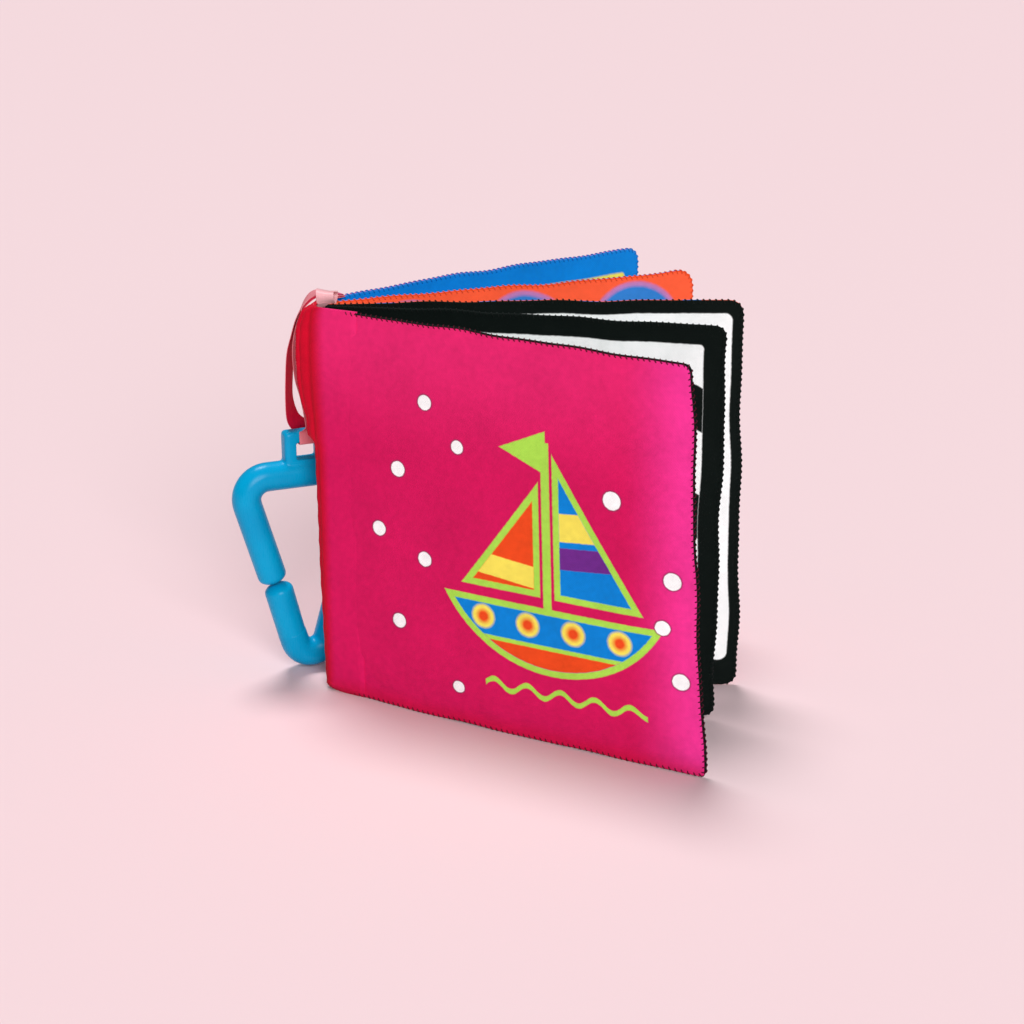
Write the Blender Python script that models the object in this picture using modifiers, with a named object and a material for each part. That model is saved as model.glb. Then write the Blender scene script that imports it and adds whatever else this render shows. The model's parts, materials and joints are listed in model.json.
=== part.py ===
"""Crinkle cloth book with a ribbon and a stroller clip.

Five padded cloth leaves stand fanned round a cloth spine. Each leaf is two
fabric panels that are sewn together at the rim, with a crinkle film and a thin
wadding inside. A satin ribbon is sewn to the top of the spine and carries a
plastic clip, whose short gate arm springs inwards.

Units are metres. +Z runs up the spine, +X along the middle page towards its
fore-edge and +Y towards the back cover. The origin is on the floor, below the
middle of the whole book.
"""

import math

import bmesh
import bpy
from mathutils import Vector

mm = 0.001

# Leaf outline
page_width = 128 * mm
page_height = 130 * mm
page_corner_radius = 6 * mm
inner_corner_radius = 2 * mm
corner_steps = 3
side_steps = 2

# Leaf section, measured from the leaf's middle plane
fabric = 0.6 * mm
clearance = 0.3 * mm
rim_opening = 1.2 * mm
rim_land = 0.4 * mm
groove_depth = 1.0 * mm
seam_width = 6 * mm
shoulder_inset = 10 * mm
shoulder_height = 0.75 * mm
crown_inset = 30 * mm
crown_height = 1.0 * mm
crown_top = 1.2 * mm

# Filling and stitching of a leaf
filling_inset = 12 * mm
film_thickness = 0.2 * mm
thread_radius = 0.2 * mm
thread_inset = 0.35 * mm

# Spine
leaf_pitch = 2.6 * mm
hinge_margin = 3 * mm
spine_cloth = 0.9 * mm
tab_thickness = 0.8 * mm
binding_margin = 4 * mm

# Angles between neighbouring leaves as the book stands, in degrees
front_cover_fan_angle = 17
page_1_fan_angle = 12
page_3_fan_angle = 24
back_cover_fan_angle = 15

# Ribbon
ribbon_width = 5.6 * mm
ribbon_thickness = 0.5 * mm
ribbon_root = 5.2 * mm
ribbon_bow = 8.5 * mm
ribbon_drop = 48.2 * mm
ribbon_steps = 3
tack_length = 5 * mm
tack_width = 1.6 * mm
tack_height = 0.6 * mm
tack_edge = 0.15 * mm

# Clip
clip_offset = 13.1 * mm
clip_side = 5.2 * mm
clip_turn = -15
ring_tube_radius = 4.9 * mm
ring_drop = 64.2 * mm
ring_lean = 16.2
ring_corner_radius = 7.2 * mm
ring_bottom_radius = 6 * mm
gate_length = 17.4 * mm
gate_gap = 0.9 * mm
gate_lean = 2
slot_width = 15.2 * mm
slot_depth = 6 * mm
slot_sill = 0.4 * mm
window_width = 7.4 * mm
window_height = 5.9 * mm
bar_height = 3.8 * mm
bar_edge = 1.0 * mm
cut_overrun = 1 * mm
tube_sides_resolution = 4
bend_steps = 6

# Leaf section: how far each ring is inside the outline, and how high its
# inner face stands off the middle plane
panel_rings = (
    (0, rim_opening / 2),
    (rim_land, rim_opening / 2),
    (groove_depth, clearance / 2),
    (seam_width, clearance / 2),
    (shoulder_inset, shoulder_height),
    (crown_inset, crown_height),
)

# The ribbon's route from its sewn end down to the clip's bar: shares of its
# bow, of the clip's distance from the spine and of its drop, the share of the
# strands' spread, and the angle of the ribbon's width for each strand
ribbon_route_shares = (
    (0.00, 0.00, 0.000, 0.11, 80, 80),
    (0.30, 0.02, 0.000, 0.11, 78, 78),
    (0.56, 0.10, -0.018, 0.11, 68, 66),
    (0.84, 0.33, 0.012, 0.14, 52, 46),
    (1.00, 0.62, 0.160, 0.26, 51, 36),
    (1.00, 0.85, 0.440, 0.46, 48, 24),
    (0.92, 0.97, 0.780, 0.76, 38, 12),
    (clip_side / ribbon_bow, 1.00, 0.950, 1.00, clip_turn, clip_turn),
)

colours = {
    "pink_cloth": (0.62, 0.012, 0.12, 1, 0.75),
    "red_cloth": (0.50, 0.004, 0.02, 1, 0.75),
    "black_cloth": (0.012, 0.014, 0.013, 1, 0.80),
    "orange_cloth": (0.85, 0.10, 0.015, 1, 0.75),
    "blue_cloth": (0.02, 0.12, 0.55, 1, 0.75),
    "crinkle_film": (0.75, 0.78, 0.80, 1, 0.20),
    "wadding": (0.85, 0.84, 0.80, 1, 0.95),
    "seam_thread": (0.45, 0.30, 0.50, 1, 0.70),
    "satin_ribbon": (0.80, 0.32, 0.38, 1, 0.35),
    "clip_plastic": (0.0, 0.30, 0.52, 1, 0.22),
}


def new_collection(name):
    collection = bpy.data.collections.new(name)
    bpy.context.scene.collection.children.link(collection)
    return collection


def material(name):
    found = bpy.data.materials.get(name)
    if found:
        return found
    red, green, blue, alpha, roughness = colours[name]
    made = bpy.data.materials.new(name)
    made.use_nodes = True
    shader = made.node_tree.nodes["Principled BSDF"]
    shader.inputs["Base Color"].default_value = (red, green, blue, alpha)
    shader.inputs["Roughness"].default_value = roughness
    shader.inputs["Metallic"].default_value = 0
    made.diffuse_color = (red, green, blue, alpha)
    return made


def frame(name, parent, location, turn=0):
    """An empty that carries the pieces of one moving body."""
    empty = bpy.data.objects.new(name, None)
    parts.objects.link(empty)
    empty.parent = parent
    empty.location = location
    empty.rotation_euler = (0, 0, math.radians(turn))
    return empty


def add_piece(name, data, parent, location, colour, collection=None):
    piece = bpy.data.objects.new(name, data)
    (collection or parts).objects.link(piece)
    piece.parent = parent
    piece.location = location
    if colour:
        data.materials.append(material(colour))
    return piece


def solidify(piece, thickness, offset, weights=""):
    shell = piece.modifiers.new("thickness", "SOLIDIFY")
    shell.thickness = thickness
    shell.offset = offset
    shell.use_even_offset = not weights
    shell.use_rim = True
    if weights:
        shell.vertex_group = weights
    return shell


def smooth(mesh, angle=40):
    mesh.shade_smooth()
    mesh.set_sharp_from_angle(angle=math.radians(angle))


def rounded_rectangle(inset):
    """Points of the leaf's outline, drawn in by inset, from its lower inner corner."""
    radius = max(page_corner_radius - inset, inner_corner_radius)
    low = inset + radius
    right = page_width - low
    top = page_height - low
    centres = ((low, low, 180), (right, low, 270), (right, top, 0), (low, top, 90))
    points = []
    for index, (x, z, start) in enumerate(centres):
        for step in range(corner_steps + 1):
            angle = math.radians(start + 90 * step / corner_steps)
            points.append(Vector((x + radius * math.cos(angle), 0, z + radius * math.sin(angle))))
        next_x, next_z, next_start = centres[(index + 1) % len(centres)]
        angle = math.radians(next_start)
        end = Vector((next_x + radius * math.cos(angle), 0, next_z + radius * math.sin(angle)))
        begin = points[-1]
        for step in range(1, side_steps + 1):
            points.append(begin.lerp(end, step / (side_steps + 1)))
    return points


def ring_surface(name, rings, middle_height, side):
    """An open surface of rings inside the leaf's outline, closed in the middle."""
    builder = bmesh.new()
    loops = []
    for inset, height in rings:
        loop = [builder.verts.new((p.x, side * height, p.z)) for p in rounded_rectangle(inset)]
        loops.append(loop)
    count = len(loops[0])
    for outer, inner in zip(loops, loops[1:]):
        for index in range(count):
            after = (index + 1) % count
            builder.faces.new((outer[index], outer[after], inner[after], inner[index]))
    middle = builder.verts.new((page_width / 2, side * middle_height, page_height / 2))
    for index in range(count):
        after = (index + 1) % count
        builder.faces.new((loops[-1][index], loops[-1][after], middle))
    builder.normal_update()
    builder.faces.ensure_lookup_table()
    if builder.faces[-1].normal.y * side < 0:
        bmesh.ops.reverse_faces(builder, faces=builder.faces)
    mesh = bpy.data.meshes.new(name)
    builder.to_mesh(mesh)
    builder.free()
    return mesh


def panel(name, parent, place, side, colour):
    """One fabric panel: a shallow tray whose rim turns out round the seam thread."""
    mesh = ring_surface(name, panel_rings, crown_top, side)
    piece = add_piece(name, mesh, parent, place, colour)
    solidify(piece, fabric, 1)
    smooth(mesh)
    return piece


def crinkle_film(name, parent, place):
    """The flat film that rustles, behind the front panel."""
    mesh = ring_surface(name, ((filling_inset, 0),), 0, -1)
    film_face = shoulder_height - clearance - film_thickness
    piece = add_piece(name, mesh, parent, place + Vector((0, -film_face, 0)), "crinkle_film")
    solidify(piece, film_thickness, 1)
    return piece


def wadding(name, parent, place):
    """The soft filling in front of the back panel, thickest in the middle."""
    base = clearance - (shoulder_height - clearance - film_thickness)
    heights = (
        (filling_inset, shoulder_height - clearance),
        (crown_inset, crown_height - clearance),
    )
    full = crown_top - clearance - base
    mesh = ring_surface(name, tuple((inset, 0) for inset, height in heights), 0, 1)
    piece = add_piece(name, mesh, parent, place + Vector((0, base, 0)), "wadding")
    weights = piece.vertex_groups.new(name="thickness")
    ring_count = len(rounded_rectangle(0))
    for ring, (inset, height) in enumerate(heights):
        ring_points = list(range(ring * ring_count, (ring + 1) * ring_count))
        weights.add(ring_points, (height - base) / full, "REPLACE")
    weights.add([len(mesh.vertices) - 1], 1, "REPLACE")
    solidify(piece, full, 1, weights.name)
    smooth(mesh)
    return piece


def tube(name, points, radius, resolution, closed=False, radii=None):
    """A round tube along points, as a curve."""
    curve = bpy.data.curves.new(name, "CURVE")
    curve.dimensions = "3D"
    curve.bevel_depth = radius
    curve.bevel_resolution = resolution
    curve.use_fill_caps = not closed
    spline = curve.splines.new("POLY")
    spline.points.add(len(points) - 1)
    for index, point in enumerate(points):
        spline.points[index].co = (point.x, point.y, point.z, 1)
        spline.points[index].radius = radii[index] if radii else 1
    spline.use_cyclic_u = closed
    spline.use_smooth = True
    return curve


def seam_thread(name, parent, place):
    """The sewing thread that runs round the leaf in the groove of its rim."""
    curve = tube(name, rounded_rectangle(thread_inset), thread_radius, 2, closed=True)
    return add_piece(name, curve, parent, place, "seam_thread")


def leaf(name, parent, offset, front_name, front_colour, back_name, back_colour):
    """The five sewn pieces of one leaf. Its middle plane lies offset from its hinge."""
    place = Vector((hinge_margin, offset, 0))
    panel(f"{name}_{front_name}_panel", parent, place, -1, front_colour)
    panel(f"{name}_{back_name}_panel", parent, place, 1, back_colour)
    crinkle_film(f"{name}_crinkle_film", parent, place)
    wadding(f"{name}_wadding", parent, place)
    seam_thread(f"{name}_seam_thread", parent, place)


def plan(parent, x, y):
    """A point of a hinge's own frame, seen in the middle page's frame."""
    bpy.context.view_layer.update()
    return middle_page_frame.matrix_world.inverted() @ parent.matrix_world @ Vector((x, y, 0))


def spine_outline():
    """The spine strip in plan, with a tab to each leaf and its ends flush with the covers."""
    half = spine_cloth / 2
    tab = tab_thickness / 2
    reach = hinge_margin - clearance
    flush = rim_opening / 2 + fabric
    inner = []
    outer = []
    for index, (parent, offset) in enumerate(leaf_places):
        low = flush if index == 0 else tab
        high = flush if index == len(leaf_places) - 1 else tab
        outer.append(plan(parent, -half, offset - (low if index == 0 else 0)))
        if index == len(leaf_places) - 1:
            outer.append(plan(parent, -half, offset + high))
        if index:
            inner.append(plan(parent, half, offset - tab))
        inner.append(plan(parent, reach, offset - low))
        inner.append(plan(parent, reach, offset + high))
        if index < len(leaf_places) - 1:
            inner.append(plan(parent, half, offset + tab))
    return outer + inner[::-1]


def spine_wrap():
    """The red strip of cloth that the leaves are sewn into."""
    curve = bpy.data.curves.new("spine_wrap", "CURVE")
    curve.dimensions = "2D"
    curve.fill_mode = "BOTH"
    curve.extrude = page_height / 2
    points = spine_outline()
    spline = curve.splines.new("POLY")
    spline.points.add(len(points) - 1)
    for index, point in enumerate(points):
        spline.points[index].co = (point.x, point.y, 0, 1)
    spline.use_cyclic_u = True
    return add_piece(
        "spine_wrap", curve, middle_page_frame, (0, 0, page_height / 2), "red_cloth"
    )


def binding_thread():
    """The line of thread down the back of the spine that holds the leaves to it."""
    x = -spine_cloth / 2 - clearance - thread_radius
    ends = [Vector((x, 0, binding_margin)), Vector((x, 0, page_height - binding_margin))]
    curve = tube("binding_thread", ends, thread_radius, 2)
    return add_piece("binding_thread", curve, middle_page_frame, (0, 0, 0), "seam_thread")


def smooth_route(stations, steps):
    """A smooth curve through stations, which are tuples of numbers."""
    route = []
    last = len(stations) - 1
    for index in range(last):
        before = stations[max(index - 1, 0)]
        here = stations[index]
        after = stations[index + 1]
        beyond = stations[min(index + 2, last)]
        for step in range(steps):
            t = step / steps
            values = []
            for a, b, c, d in zip(before, here, after, beyond):
                cubic = 2 * b + (c - a) * t + (2 * a - 5 * b + 4 * c - d) * t**2
                values.append(0.5 * (cubic + (3 * b - a - 3 * c + d) * t**3))
            route.append(tuple(values))
    route.append(stations[last])
    return route


def ribbon_strand(inner):
    """Centres and width directions of one strand, from its sewn end to the bar."""
    spread_at_bar = slot_depth / 2 + clearance + ribbon_thickness / 2
    stations = []
    for bow, out, drop, spread, inner_turn, outer_turn in ribbon_route_shares:
        turn = inner_turn if inner else outer_turn
        stations.append((
            -bow * ribbon_bow, out * clip_offset, -drop * ribbon_drop,
            spread * spread_at_bar, math.radians(turn),
        ))
    route = smooth_route(stations, ribbon_steps)
    centres = [Vector(station[:3]) for station in route]
    strand = []
    for index, station in enumerate(route):
        ahead = centres[min(index + 1, len(centres) - 1)]
        behind = centres[max(index - 1, 0)]
        along = (ahead - behind).normalized()
        if index == len(route) - 1:
            along = Vector((0, 0, -1))
        across = Vector((math.cos(station[4]), math.sin(station[4]), 0))
        across = (across - along * across.dot(along)).normalized()
        outwards = along.cross(across)
        side = 1 if inner else -1
        strand.append((centres[index] + side * station[3] * outwards, across))
    return strand


def ribbon_turn():
    """The ribbon's turn under the clip's bar, from its front to its back."""
    across = Vector((math.cos(math.radians(clip_turn)), math.sin(math.radians(clip_turn)), 0))
    out = Vector((-across.y, across.x, 0))
    radius = clearance + ribbon_thickness / 2
    half_depth = slot_depth / 2
    low = bar_height / 2
    bar = Vector((-clip_side, clip_offset, -ribbon_drop))
    turn = []
    for side, start in ((-1, 180), (1, 270)):
        for step in range(ribbon_steps + 1):
            angle = math.radians(start + 90 * step / ribbon_steps)
            depth = side * half_depth + radius * math.cos(angle)
            height = -low + radius * math.sin(angle)
            turn.append((bar + depth * out + Vector((0, 0, height)), across))
    return turn


def ribbon_loop():
    """The satin ribbon: down one strand, under the bar and up the other."""
    stations = ribbon_strand(True) + ribbon_turn() + ribbon_strand(False)[::-1]
    builder = bmesh.new()
    edges = []
    for centre, across in stations:
        reach = across * ribbon_width / 2
        edges.append((builder.verts.new(centre - reach), builder.verts.new(centre + reach)))
    for (a, b), (c, d) in zip(edges, edges[1:]):
        builder.faces.new((a, b, d, c))
    mesh = bpy.data.meshes.new("ribbon_loop")
    builder.to_mesh(mesh)
    builder.free()
    piece = add_piece("ribbon_loop", mesh, ribbon_pivot, (0, 0, 0), "satin_ribbon")
    shell = solidify(piece, ribbon_thickness, 0)
    shell.use_even_offset = False
    smooth(mesh)
    return piece


def block(name, size, parent, location, colour, edge=0, collection=None):
    """A box with its edges rounded by edge."""
    builder = bmesh.new()
    bmesh.ops.create_cube(builder, size=1)
    bmesh.ops.scale(builder, vec=size, verts=builder.verts)
    mesh = bpy.data.meshes.new(name)
    builder.to_mesh(mesh)
    builder.free()
    piece = add_piece(name, mesh, parent, location, colour, collection)
    if edge:
        bevel = piece.modifiers.new("edges", "BEVEL")
        bevel.width = edge
        bevel.segments = 2
    return piece


def ribbon_bar_tack():
    """The dense stitch that holds both ends of the ribbon to the cover's top."""
    size = (tack_width, tack_length, tack_height)
    seat = clearance + 2 * (ribbon_thickness + clearance)
    place = (
        ribbon_root - tack_width, leaf_pitch / 2,
        page_height + seat + tack_height / 2,
    )
    piece = block("ribbon_bar_tack", size, back_cover_hinge, place, "satin_ribbon", tack_edge)
    piece.rotation_euler = (0, 0, math.radians(ribbon_route_shares[0][4] - 90))
    return piece


def arc(centre_x, centre_z, radius, start, end, steps):
    points = []
    for step in range(steps + 1):
        angle = math.radians(start + (end - start) * step / steps)
        points.append(Vector((
            centre_x + radius * math.cos(angle), 0, centre_z + radius * math.sin(angle)
        )))
    return points


def round_end(tip, direction, radius):
    """Points and radius shares that close a tube with a half ball ending at tip."""
    points = []
    shares = []
    for angle in (6, 30, 60, 90):
        back = radius * (1 - math.cos(math.radians(angle)))
        points.append(tip - direction * back)
        shares.append(math.sin(math.radians(angle)))
    return points, shares


def clip_plan():
    """Key places of the clip in its own frame, whose origin is the middle of its bar."""
    lean = math.radians(ring_lean)
    top = -(bar_height / 2 + window_height + slot_sill + ring_tube_radius)
    bend_z = top - ring_drop + ring_bottom_radius
    upwards = Vector((-math.sin(lean), 0, math.cos(lean)))
    foot = Vector((
        -ring_bottom_radius * math.cos(lean), 0, bend_z - ring_bottom_radius * math.sin(lean)
    ))
    gate_root = foot + upwards * (ring_tube_radius + clearance)
    return top, bend_z, upwards, foot, gate_root


def tube_mesh(name, points, radii):
    """A tube as a mesh with welded caps, so that it can be joined and cut."""
    curve = tube(name + "_route", points, ring_tube_radius, tube_sides_resolution, radii=radii)
    route = bpy.data.objects.new(name + "_route", curve)
    parts.objects.link(route)
    bpy.context.view_layer.update()
    evaluated = route.evaluated_get(bpy.context.evaluated_depsgraph_get())
    mesh = bpy.data.meshes.new_from_object(evaluated)
    bpy.data.objects.remove(route)
    bpy.data.curves.remove(curve)
    mesh.name = name
    builder = bmesh.new()
    builder.from_mesh(mesh)
    bmesh.ops.remove_doubles(builder, verts=builder.verts, dist=ring_tube_radius / 1000)
    builder.to_mesh(mesh)
    builder.free()
    return mesh


def boolean(piece, other, operation):
    joined = piece.modifiers.new(other.name, "BOOLEAN")
    joined.operation = operation
    joined.solver = "EXACT"
    joined.object = other
    other.hide_render = True
    other.display_type = "WIRE"


def side_corner(top, upwards, foot):
    """Where the ring's left side meets its top side, before the corner is rounded."""
    return foot + upwards * ((top - foot.z) / upwards.z)


def clip_frame():
    """The fixed part of the clip: its ring, open where the gate arm goes, and the ribbon's slot."""
    top, bend_z, upwards, foot, gate_root = clip_plan()
    corner = side_corner(top, upwards, foot)
    trim = ring_corner_radius * math.tan(math.radians(90 + ring_lean) / 2)
    centre = corner.x + trim
    tip = gate_root + upwards * (gate_length + gate_gap)
    points, radii = round_end(tip, -upwards, ring_tube_radius)
    level = top - ring_corner_radius
    points += arc(centre, level, ring_corner_radius, 180 + ring_lean, 90, bend_steps)
    points += arc(-centre, level, ring_corner_radius, 90, -ring_lean, bend_steps)
    points += arc(0, bend_z, ring_bottom_radius, -ring_lean, ring_lean - 180, bend_steps)
    radii += [1] * (len(points) - len(radii))
    piece = add_piece(
        "clip_frame", tube_mesh("clip_frame", points, radii), clip_pivot, (0, 0, 0),
        "clip_plastic",
    )
    height = bar_height / 2 - top
    slot = block(
        "slot_block", (slot_width, slot_depth, height), clip_pivot,
        (0, 0, bar_height / 2 - height / 2), None, bar_edge, cutters,
    )
    window = block(
        "slot_window", (window_width, slot_depth + 2 * cut_overrun, window_height), clip_pivot,
        (0, 0, -(bar_height + window_height) / 2), None, 0, cutters,
    )
    boolean(piece, slot, "UNION")
    boolean(piece, window, "DIFFERENCE")
    return piece


def clip_gate():
    """The short lower arm, which springs inwards about its root at the ring's foot."""
    lean = math.radians(ring_lean - gate_lean)
    upwards = Vector((-math.sin(lean), 0, math.cos(lean)))
    root, root_radii = round_end(-upwards * ring_tube_radius, -upwards, ring_tube_radius)
    end, end_radii = round_end(upwards * gate_length, upwards, ring_tube_radius)
    points = root + end[::-1]
    radii = root_radii + end_radii[::-1]
    mesh = tube_mesh("clip_gate", points, radii)
    return add_piece("clip_gate", mesh, gate_pivot, (0, 0, 0), "clip_plastic")


def centre_on_floor():
    """Moves the whole book so that the origin lies below the middle of its box."""
    bpy.context.view_layer.update()
    depsgraph = bpy.context.evaluated_depsgraph_get()
    corners = []
    for piece in parts.objects:
        if piece.type == "EMPTY":
            continue
        evaluated = piece.evaluated_get(depsgraph)
        mesh = evaluated.to_mesh()
        corners += [piece.matrix_world @ vertex.co for vertex in mesh.vertices]
        evaluated.to_mesh_clear()
    middle = [
        (min(point[axis] for point in corners) + max(point[axis] for point in corners)) / 2
        for axis in range(2)
    ]
    book_frame.location -= Vector((middle[0], middle[1], 0))


# Start from an empty scene
for old in list(bpy.data.objects):
    bpy.data.objects.remove(old)

parts = new_collection("crinkle_cloth_book")
cutters = new_collection("cutters")

# The moving bodies, from the middle page out to the covers, then down to the clip
half_pitch = leaf_pitch / 2
book_frame = frame("book_frame", None, (0, 0, 0))
middle_page_frame = frame("middle_page_frame", book_frame, (0, 0, 0))
page_1_hinge = frame("page_1_hinge", middle_page_frame, (0, -half_pitch, 0), -page_1_fan_angle)
front_cover_hinge = frame(
    "front_cover_hinge", page_1_hinge, (0, -leaf_pitch, 0), -front_cover_fan_angle
)
page_3_hinge = frame("page_3_hinge", middle_page_frame, (0, half_pitch, 0), page_3_fan_angle)
back_cover_hinge = frame("back_cover_hinge", page_3_hinge, (0, leaf_pitch, 0), back_cover_fan_angle)
strands_height = page_height + clearance + ribbon_thickness + clearance / 2
ribbon_pivot = frame(
    "ribbon_pivot", back_cover_hinge, (ribbon_root, half_pitch, strands_height)
)
clip_place = (-clip_side, clip_offset, -ribbon_drop)
clip_pivot = frame("clip_pivot", ribbon_pivot, clip_place, clip_turn)
gate_pivot = frame("gate_pivot", clip_pivot, clip_plan()[-1])

leaf_places = (
    (front_cover_hinge, -half_pitch),
    (page_1_hinge, -half_pitch),
    (middle_page_frame, 0),
    (page_3_hinge, half_pitch),
    (back_cover_hinge, half_pitch),
)

leaf("front_cover", *leaf_places[0], "outer", "pink_cloth", "inner", "black_cloth")
leaf("page_1", *leaf_places[1], "front", "black_cloth", "back", "black_cloth")
leaf("page_2", *leaf_places[2], "front", "black_cloth", "back", "orange_cloth")
leaf("page_3", *leaf_places[3], "front", "orange_cloth", "back", "blue_cloth")
leaf("back_cover", *leaf_places[4], "inner", "blue_cloth", "outer", "pink_cloth")

spine_wrap()
binding_thread()
ribbon_loop()
ribbon_bar_tack()
clip_frame()
clip_gate()

centre_on_floor()
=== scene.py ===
# %% [markdown]
# # A crinkle cloth book, dressed around its CAD frame
#
# This lesson builds the looks of a small cloth book for babies. Its leaves are
# padded fabric with a printed face, its spine is a folded strip of red cloth,
# and a satin ribbon carries a plastic clip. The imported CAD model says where
# every piece is and how it moves. Here each soft piece gets its real form.

import json
import math

import bmesh
import bpy
import numpy as np
from mathutils import Matrix, Quaternion, Vector


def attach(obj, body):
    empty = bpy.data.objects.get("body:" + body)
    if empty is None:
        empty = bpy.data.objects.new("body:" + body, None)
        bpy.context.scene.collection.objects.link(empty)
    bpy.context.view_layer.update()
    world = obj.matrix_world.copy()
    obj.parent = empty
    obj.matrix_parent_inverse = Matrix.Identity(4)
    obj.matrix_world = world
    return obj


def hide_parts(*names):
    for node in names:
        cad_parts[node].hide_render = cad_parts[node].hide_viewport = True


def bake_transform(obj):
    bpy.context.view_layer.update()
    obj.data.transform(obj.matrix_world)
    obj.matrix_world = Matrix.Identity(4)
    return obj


mm = 0.001
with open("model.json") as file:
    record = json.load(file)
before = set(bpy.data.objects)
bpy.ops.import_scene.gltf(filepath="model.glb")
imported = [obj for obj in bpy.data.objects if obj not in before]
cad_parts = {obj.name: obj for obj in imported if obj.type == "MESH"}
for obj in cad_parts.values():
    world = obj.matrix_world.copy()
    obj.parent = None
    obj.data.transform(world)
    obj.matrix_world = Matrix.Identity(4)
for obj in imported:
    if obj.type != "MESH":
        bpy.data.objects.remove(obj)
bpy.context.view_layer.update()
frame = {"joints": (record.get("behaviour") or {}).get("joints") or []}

# %% [markdown]
# ## Where the camera stands
#
# The photograph looks down on the book from a little above its front cover.
# A camera can be placed by eye, but the corners of the leaves are known points
# in the CAD model. Fitting their places in the picture gives the viewing
# direction, the distance and the lens, and the render then lines up at once.

# %% Camera
picture_side = 1024
focal_pixels = 2300
camera_aim = Vector((10.51, -8.0, 60.5)) * mm
camera_distance = 755.1 * mm
camera_height_angle = math.radians(18.64)
camera_turn = math.radians(1.71)
camera_roll = math.radians(0.27)

view_direction = Vector((
    -math.sin(camera_turn) * math.cos(camera_height_angle),
    math.cos(camera_turn) * math.cos(camera_height_angle),
    -math.sin(camera_height_angle),
))
camera_data = bpy.data.cameras.new("camera")
camera_data.sensor_width = 36
camera_data.lens = focal_pixels / picture_side * camera_data.sensor_width
camera_data.clip_start = 0.01
camera_data.clip_end = 20
camera = bpy.data.objects.new("camera", camera_data)
bpy.context.scene.collection.objects.link(camera)
camera.rotation_mode = "QUATERNION"
upright = view_direction.to_track_quat("-Z", "Y")
camera.rotation_quaternion = Quaternion(view_direction, camera_roll) @ upright
camera.location = camera_aim - view_direction * camera_distance
bpy.context.scene.camera = camera
print("lens in mm:", round(camera_data.lens, 1))

# %% [markdown]
# ## Floor and light
#
# The book stands on an even, pale pink ground with one soft shadow in front of
# it. Two suns with wide discs do this: a high one from behind casts the shadow
# and a low one from the front and right lights the pages, and leaves the clip
# in the spine's shade. A sun lights a large floor evenly, which an area lamp
# can't. The world fills in the shadows with a cool light, which balances the
# warm light off the covers, and shows pink to the camera alone.

# %% Stage
floor_colour = (0.86, 0.635, 0.665, 1)
backdrop_colour = (0.93, 0.71, 0.745, 1)
bpy.context.scene.view_settings.view_transform = "Standard"

floor_mesh = bpy.data.meshes.new("floor")
reach = 6.0
floor_mesh.from_pydata(
    [(-reach, -reach, 0), (reach, -reach, 0), (reach, reach, 0), (-reach, reach, 0)],
    [], [(0, 1, 2, 3)],
)
floor = bpy.data.objects.new("floor", floor_mesh)
floor.location.z = -0.1 * mm
bpy.context.scene.collection.objects.link(floor)
floor_material = bpy.data.materials.new("pale_floor")
floor_material.use_nodes = True
floor_shader = floor_material.node_tree.nodes["Principled BSDF"]
floor_shader.inputs["Base Color"].default_value = floor_colour
floor_shader.inputs["Roughness"].default_value = 0.9
floor_shader.inputs["Specular IOR Level"].default_value = 0.1
floor_mesh.materials.append(floor_material)


def sun(name, turn, height, strength, size):
    """A sun that shines from the compass turn and the height, both in degrees."""
    lamp = bpy.data.lights.new(name, "SUN")
    lamp.energy = strength
    lamp.angle = math.radians(size)
    holder = bpy.data.objects.new(name, lamp)
    bpy.context.scene.collection.objects.link(holder)
    around = math.radians(turn)
    above = math.radians(height)
    source = Vector((
        math.sin(around) * math.cos(above),
        -math.cos(around) * math.cos(above),
        math.sin(above),
    ))
    holder.rotation_mode = "QUATERNION"
    holder.rotation_quaternion = (-source).to_track_quat("-Z", "Y")
    return holder


sun("high_sun", 206, 71, 2.15, 20)
sun("front_sun", 14, 27, 2.35, 32)

world = bpy.data.worlds.new("studio")
bpy.context.scene.world = world
world.use_nodes = True
sky = world.node_tree
sky.nodes.clear()
ray = sky.nodes.new("ShaderNodeLightPath")
soft_light = sky.nodes.new("ShaderNodeBackground")
soft_light.inputs["Color"].default_value = (0.7, 1, 0.99, 1)
soft_light.inputs["Strength"].default_value = 0.13
backdrop = sky.nodes.new("ShaderNodeBackground")
backdrop.inputs["Color"].default_value = backdrop_colour
backdrop.inputs["Strength"].default_value = 1
choose = sky.nodes.new("ShaderNodeMixShader")
sky.links.new(ray.outputs["Is Camera Ray"], choose.inputs[0])
sky.links.new(soft_light.outputs[0], choose.inputs[1])
sky.links.new(backdrop.outputs[0], choose.inputs[2])
world_output = sky.nodes.new("ShaderNodeOutputWorld")
sky.links.new(choose.outputs[0], world_output.inputs["Surface"])

# %% [markdown]
# ## Places of the five leaves
#
# Each leaf turns about an upright line at the spine. The record gives those
# lines as joint positions. A leaf's own frame starts on its line: x runs along
# the page, y through it and z up it. Working in that frame keeps every number
# a distance on the page, whatever the angle at which the leaf stands.

# %% Leaf frames
page_width = 128 * mm
page_height = 130 * mm
hinge_margin = 3 * mm
half_pitch = 1.3 * mm
joint_place = {joint["name"]: Vector(joint["pos_m"]) for joint in frame["joints"]}
middle_place = (joint_place["page_1_turn"] + joint_place["page_3_turn"]) / 2

leaf_places = {
    "front_cover": (joint_place["front_cover_turn"], -29, -half_pitch),
    "page_1": (joint_place["page_1_turn"], -12, -half_pitch),
    "page_2": (middle_place, 0, 0),
    "page_3": (joint_place["page_3_turn"], 24, half_pitch),
    "back_cover": (joint_place["back_cover_turn"], 39, half_pitch),
}
leaf_order = list(leaf_places)


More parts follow.
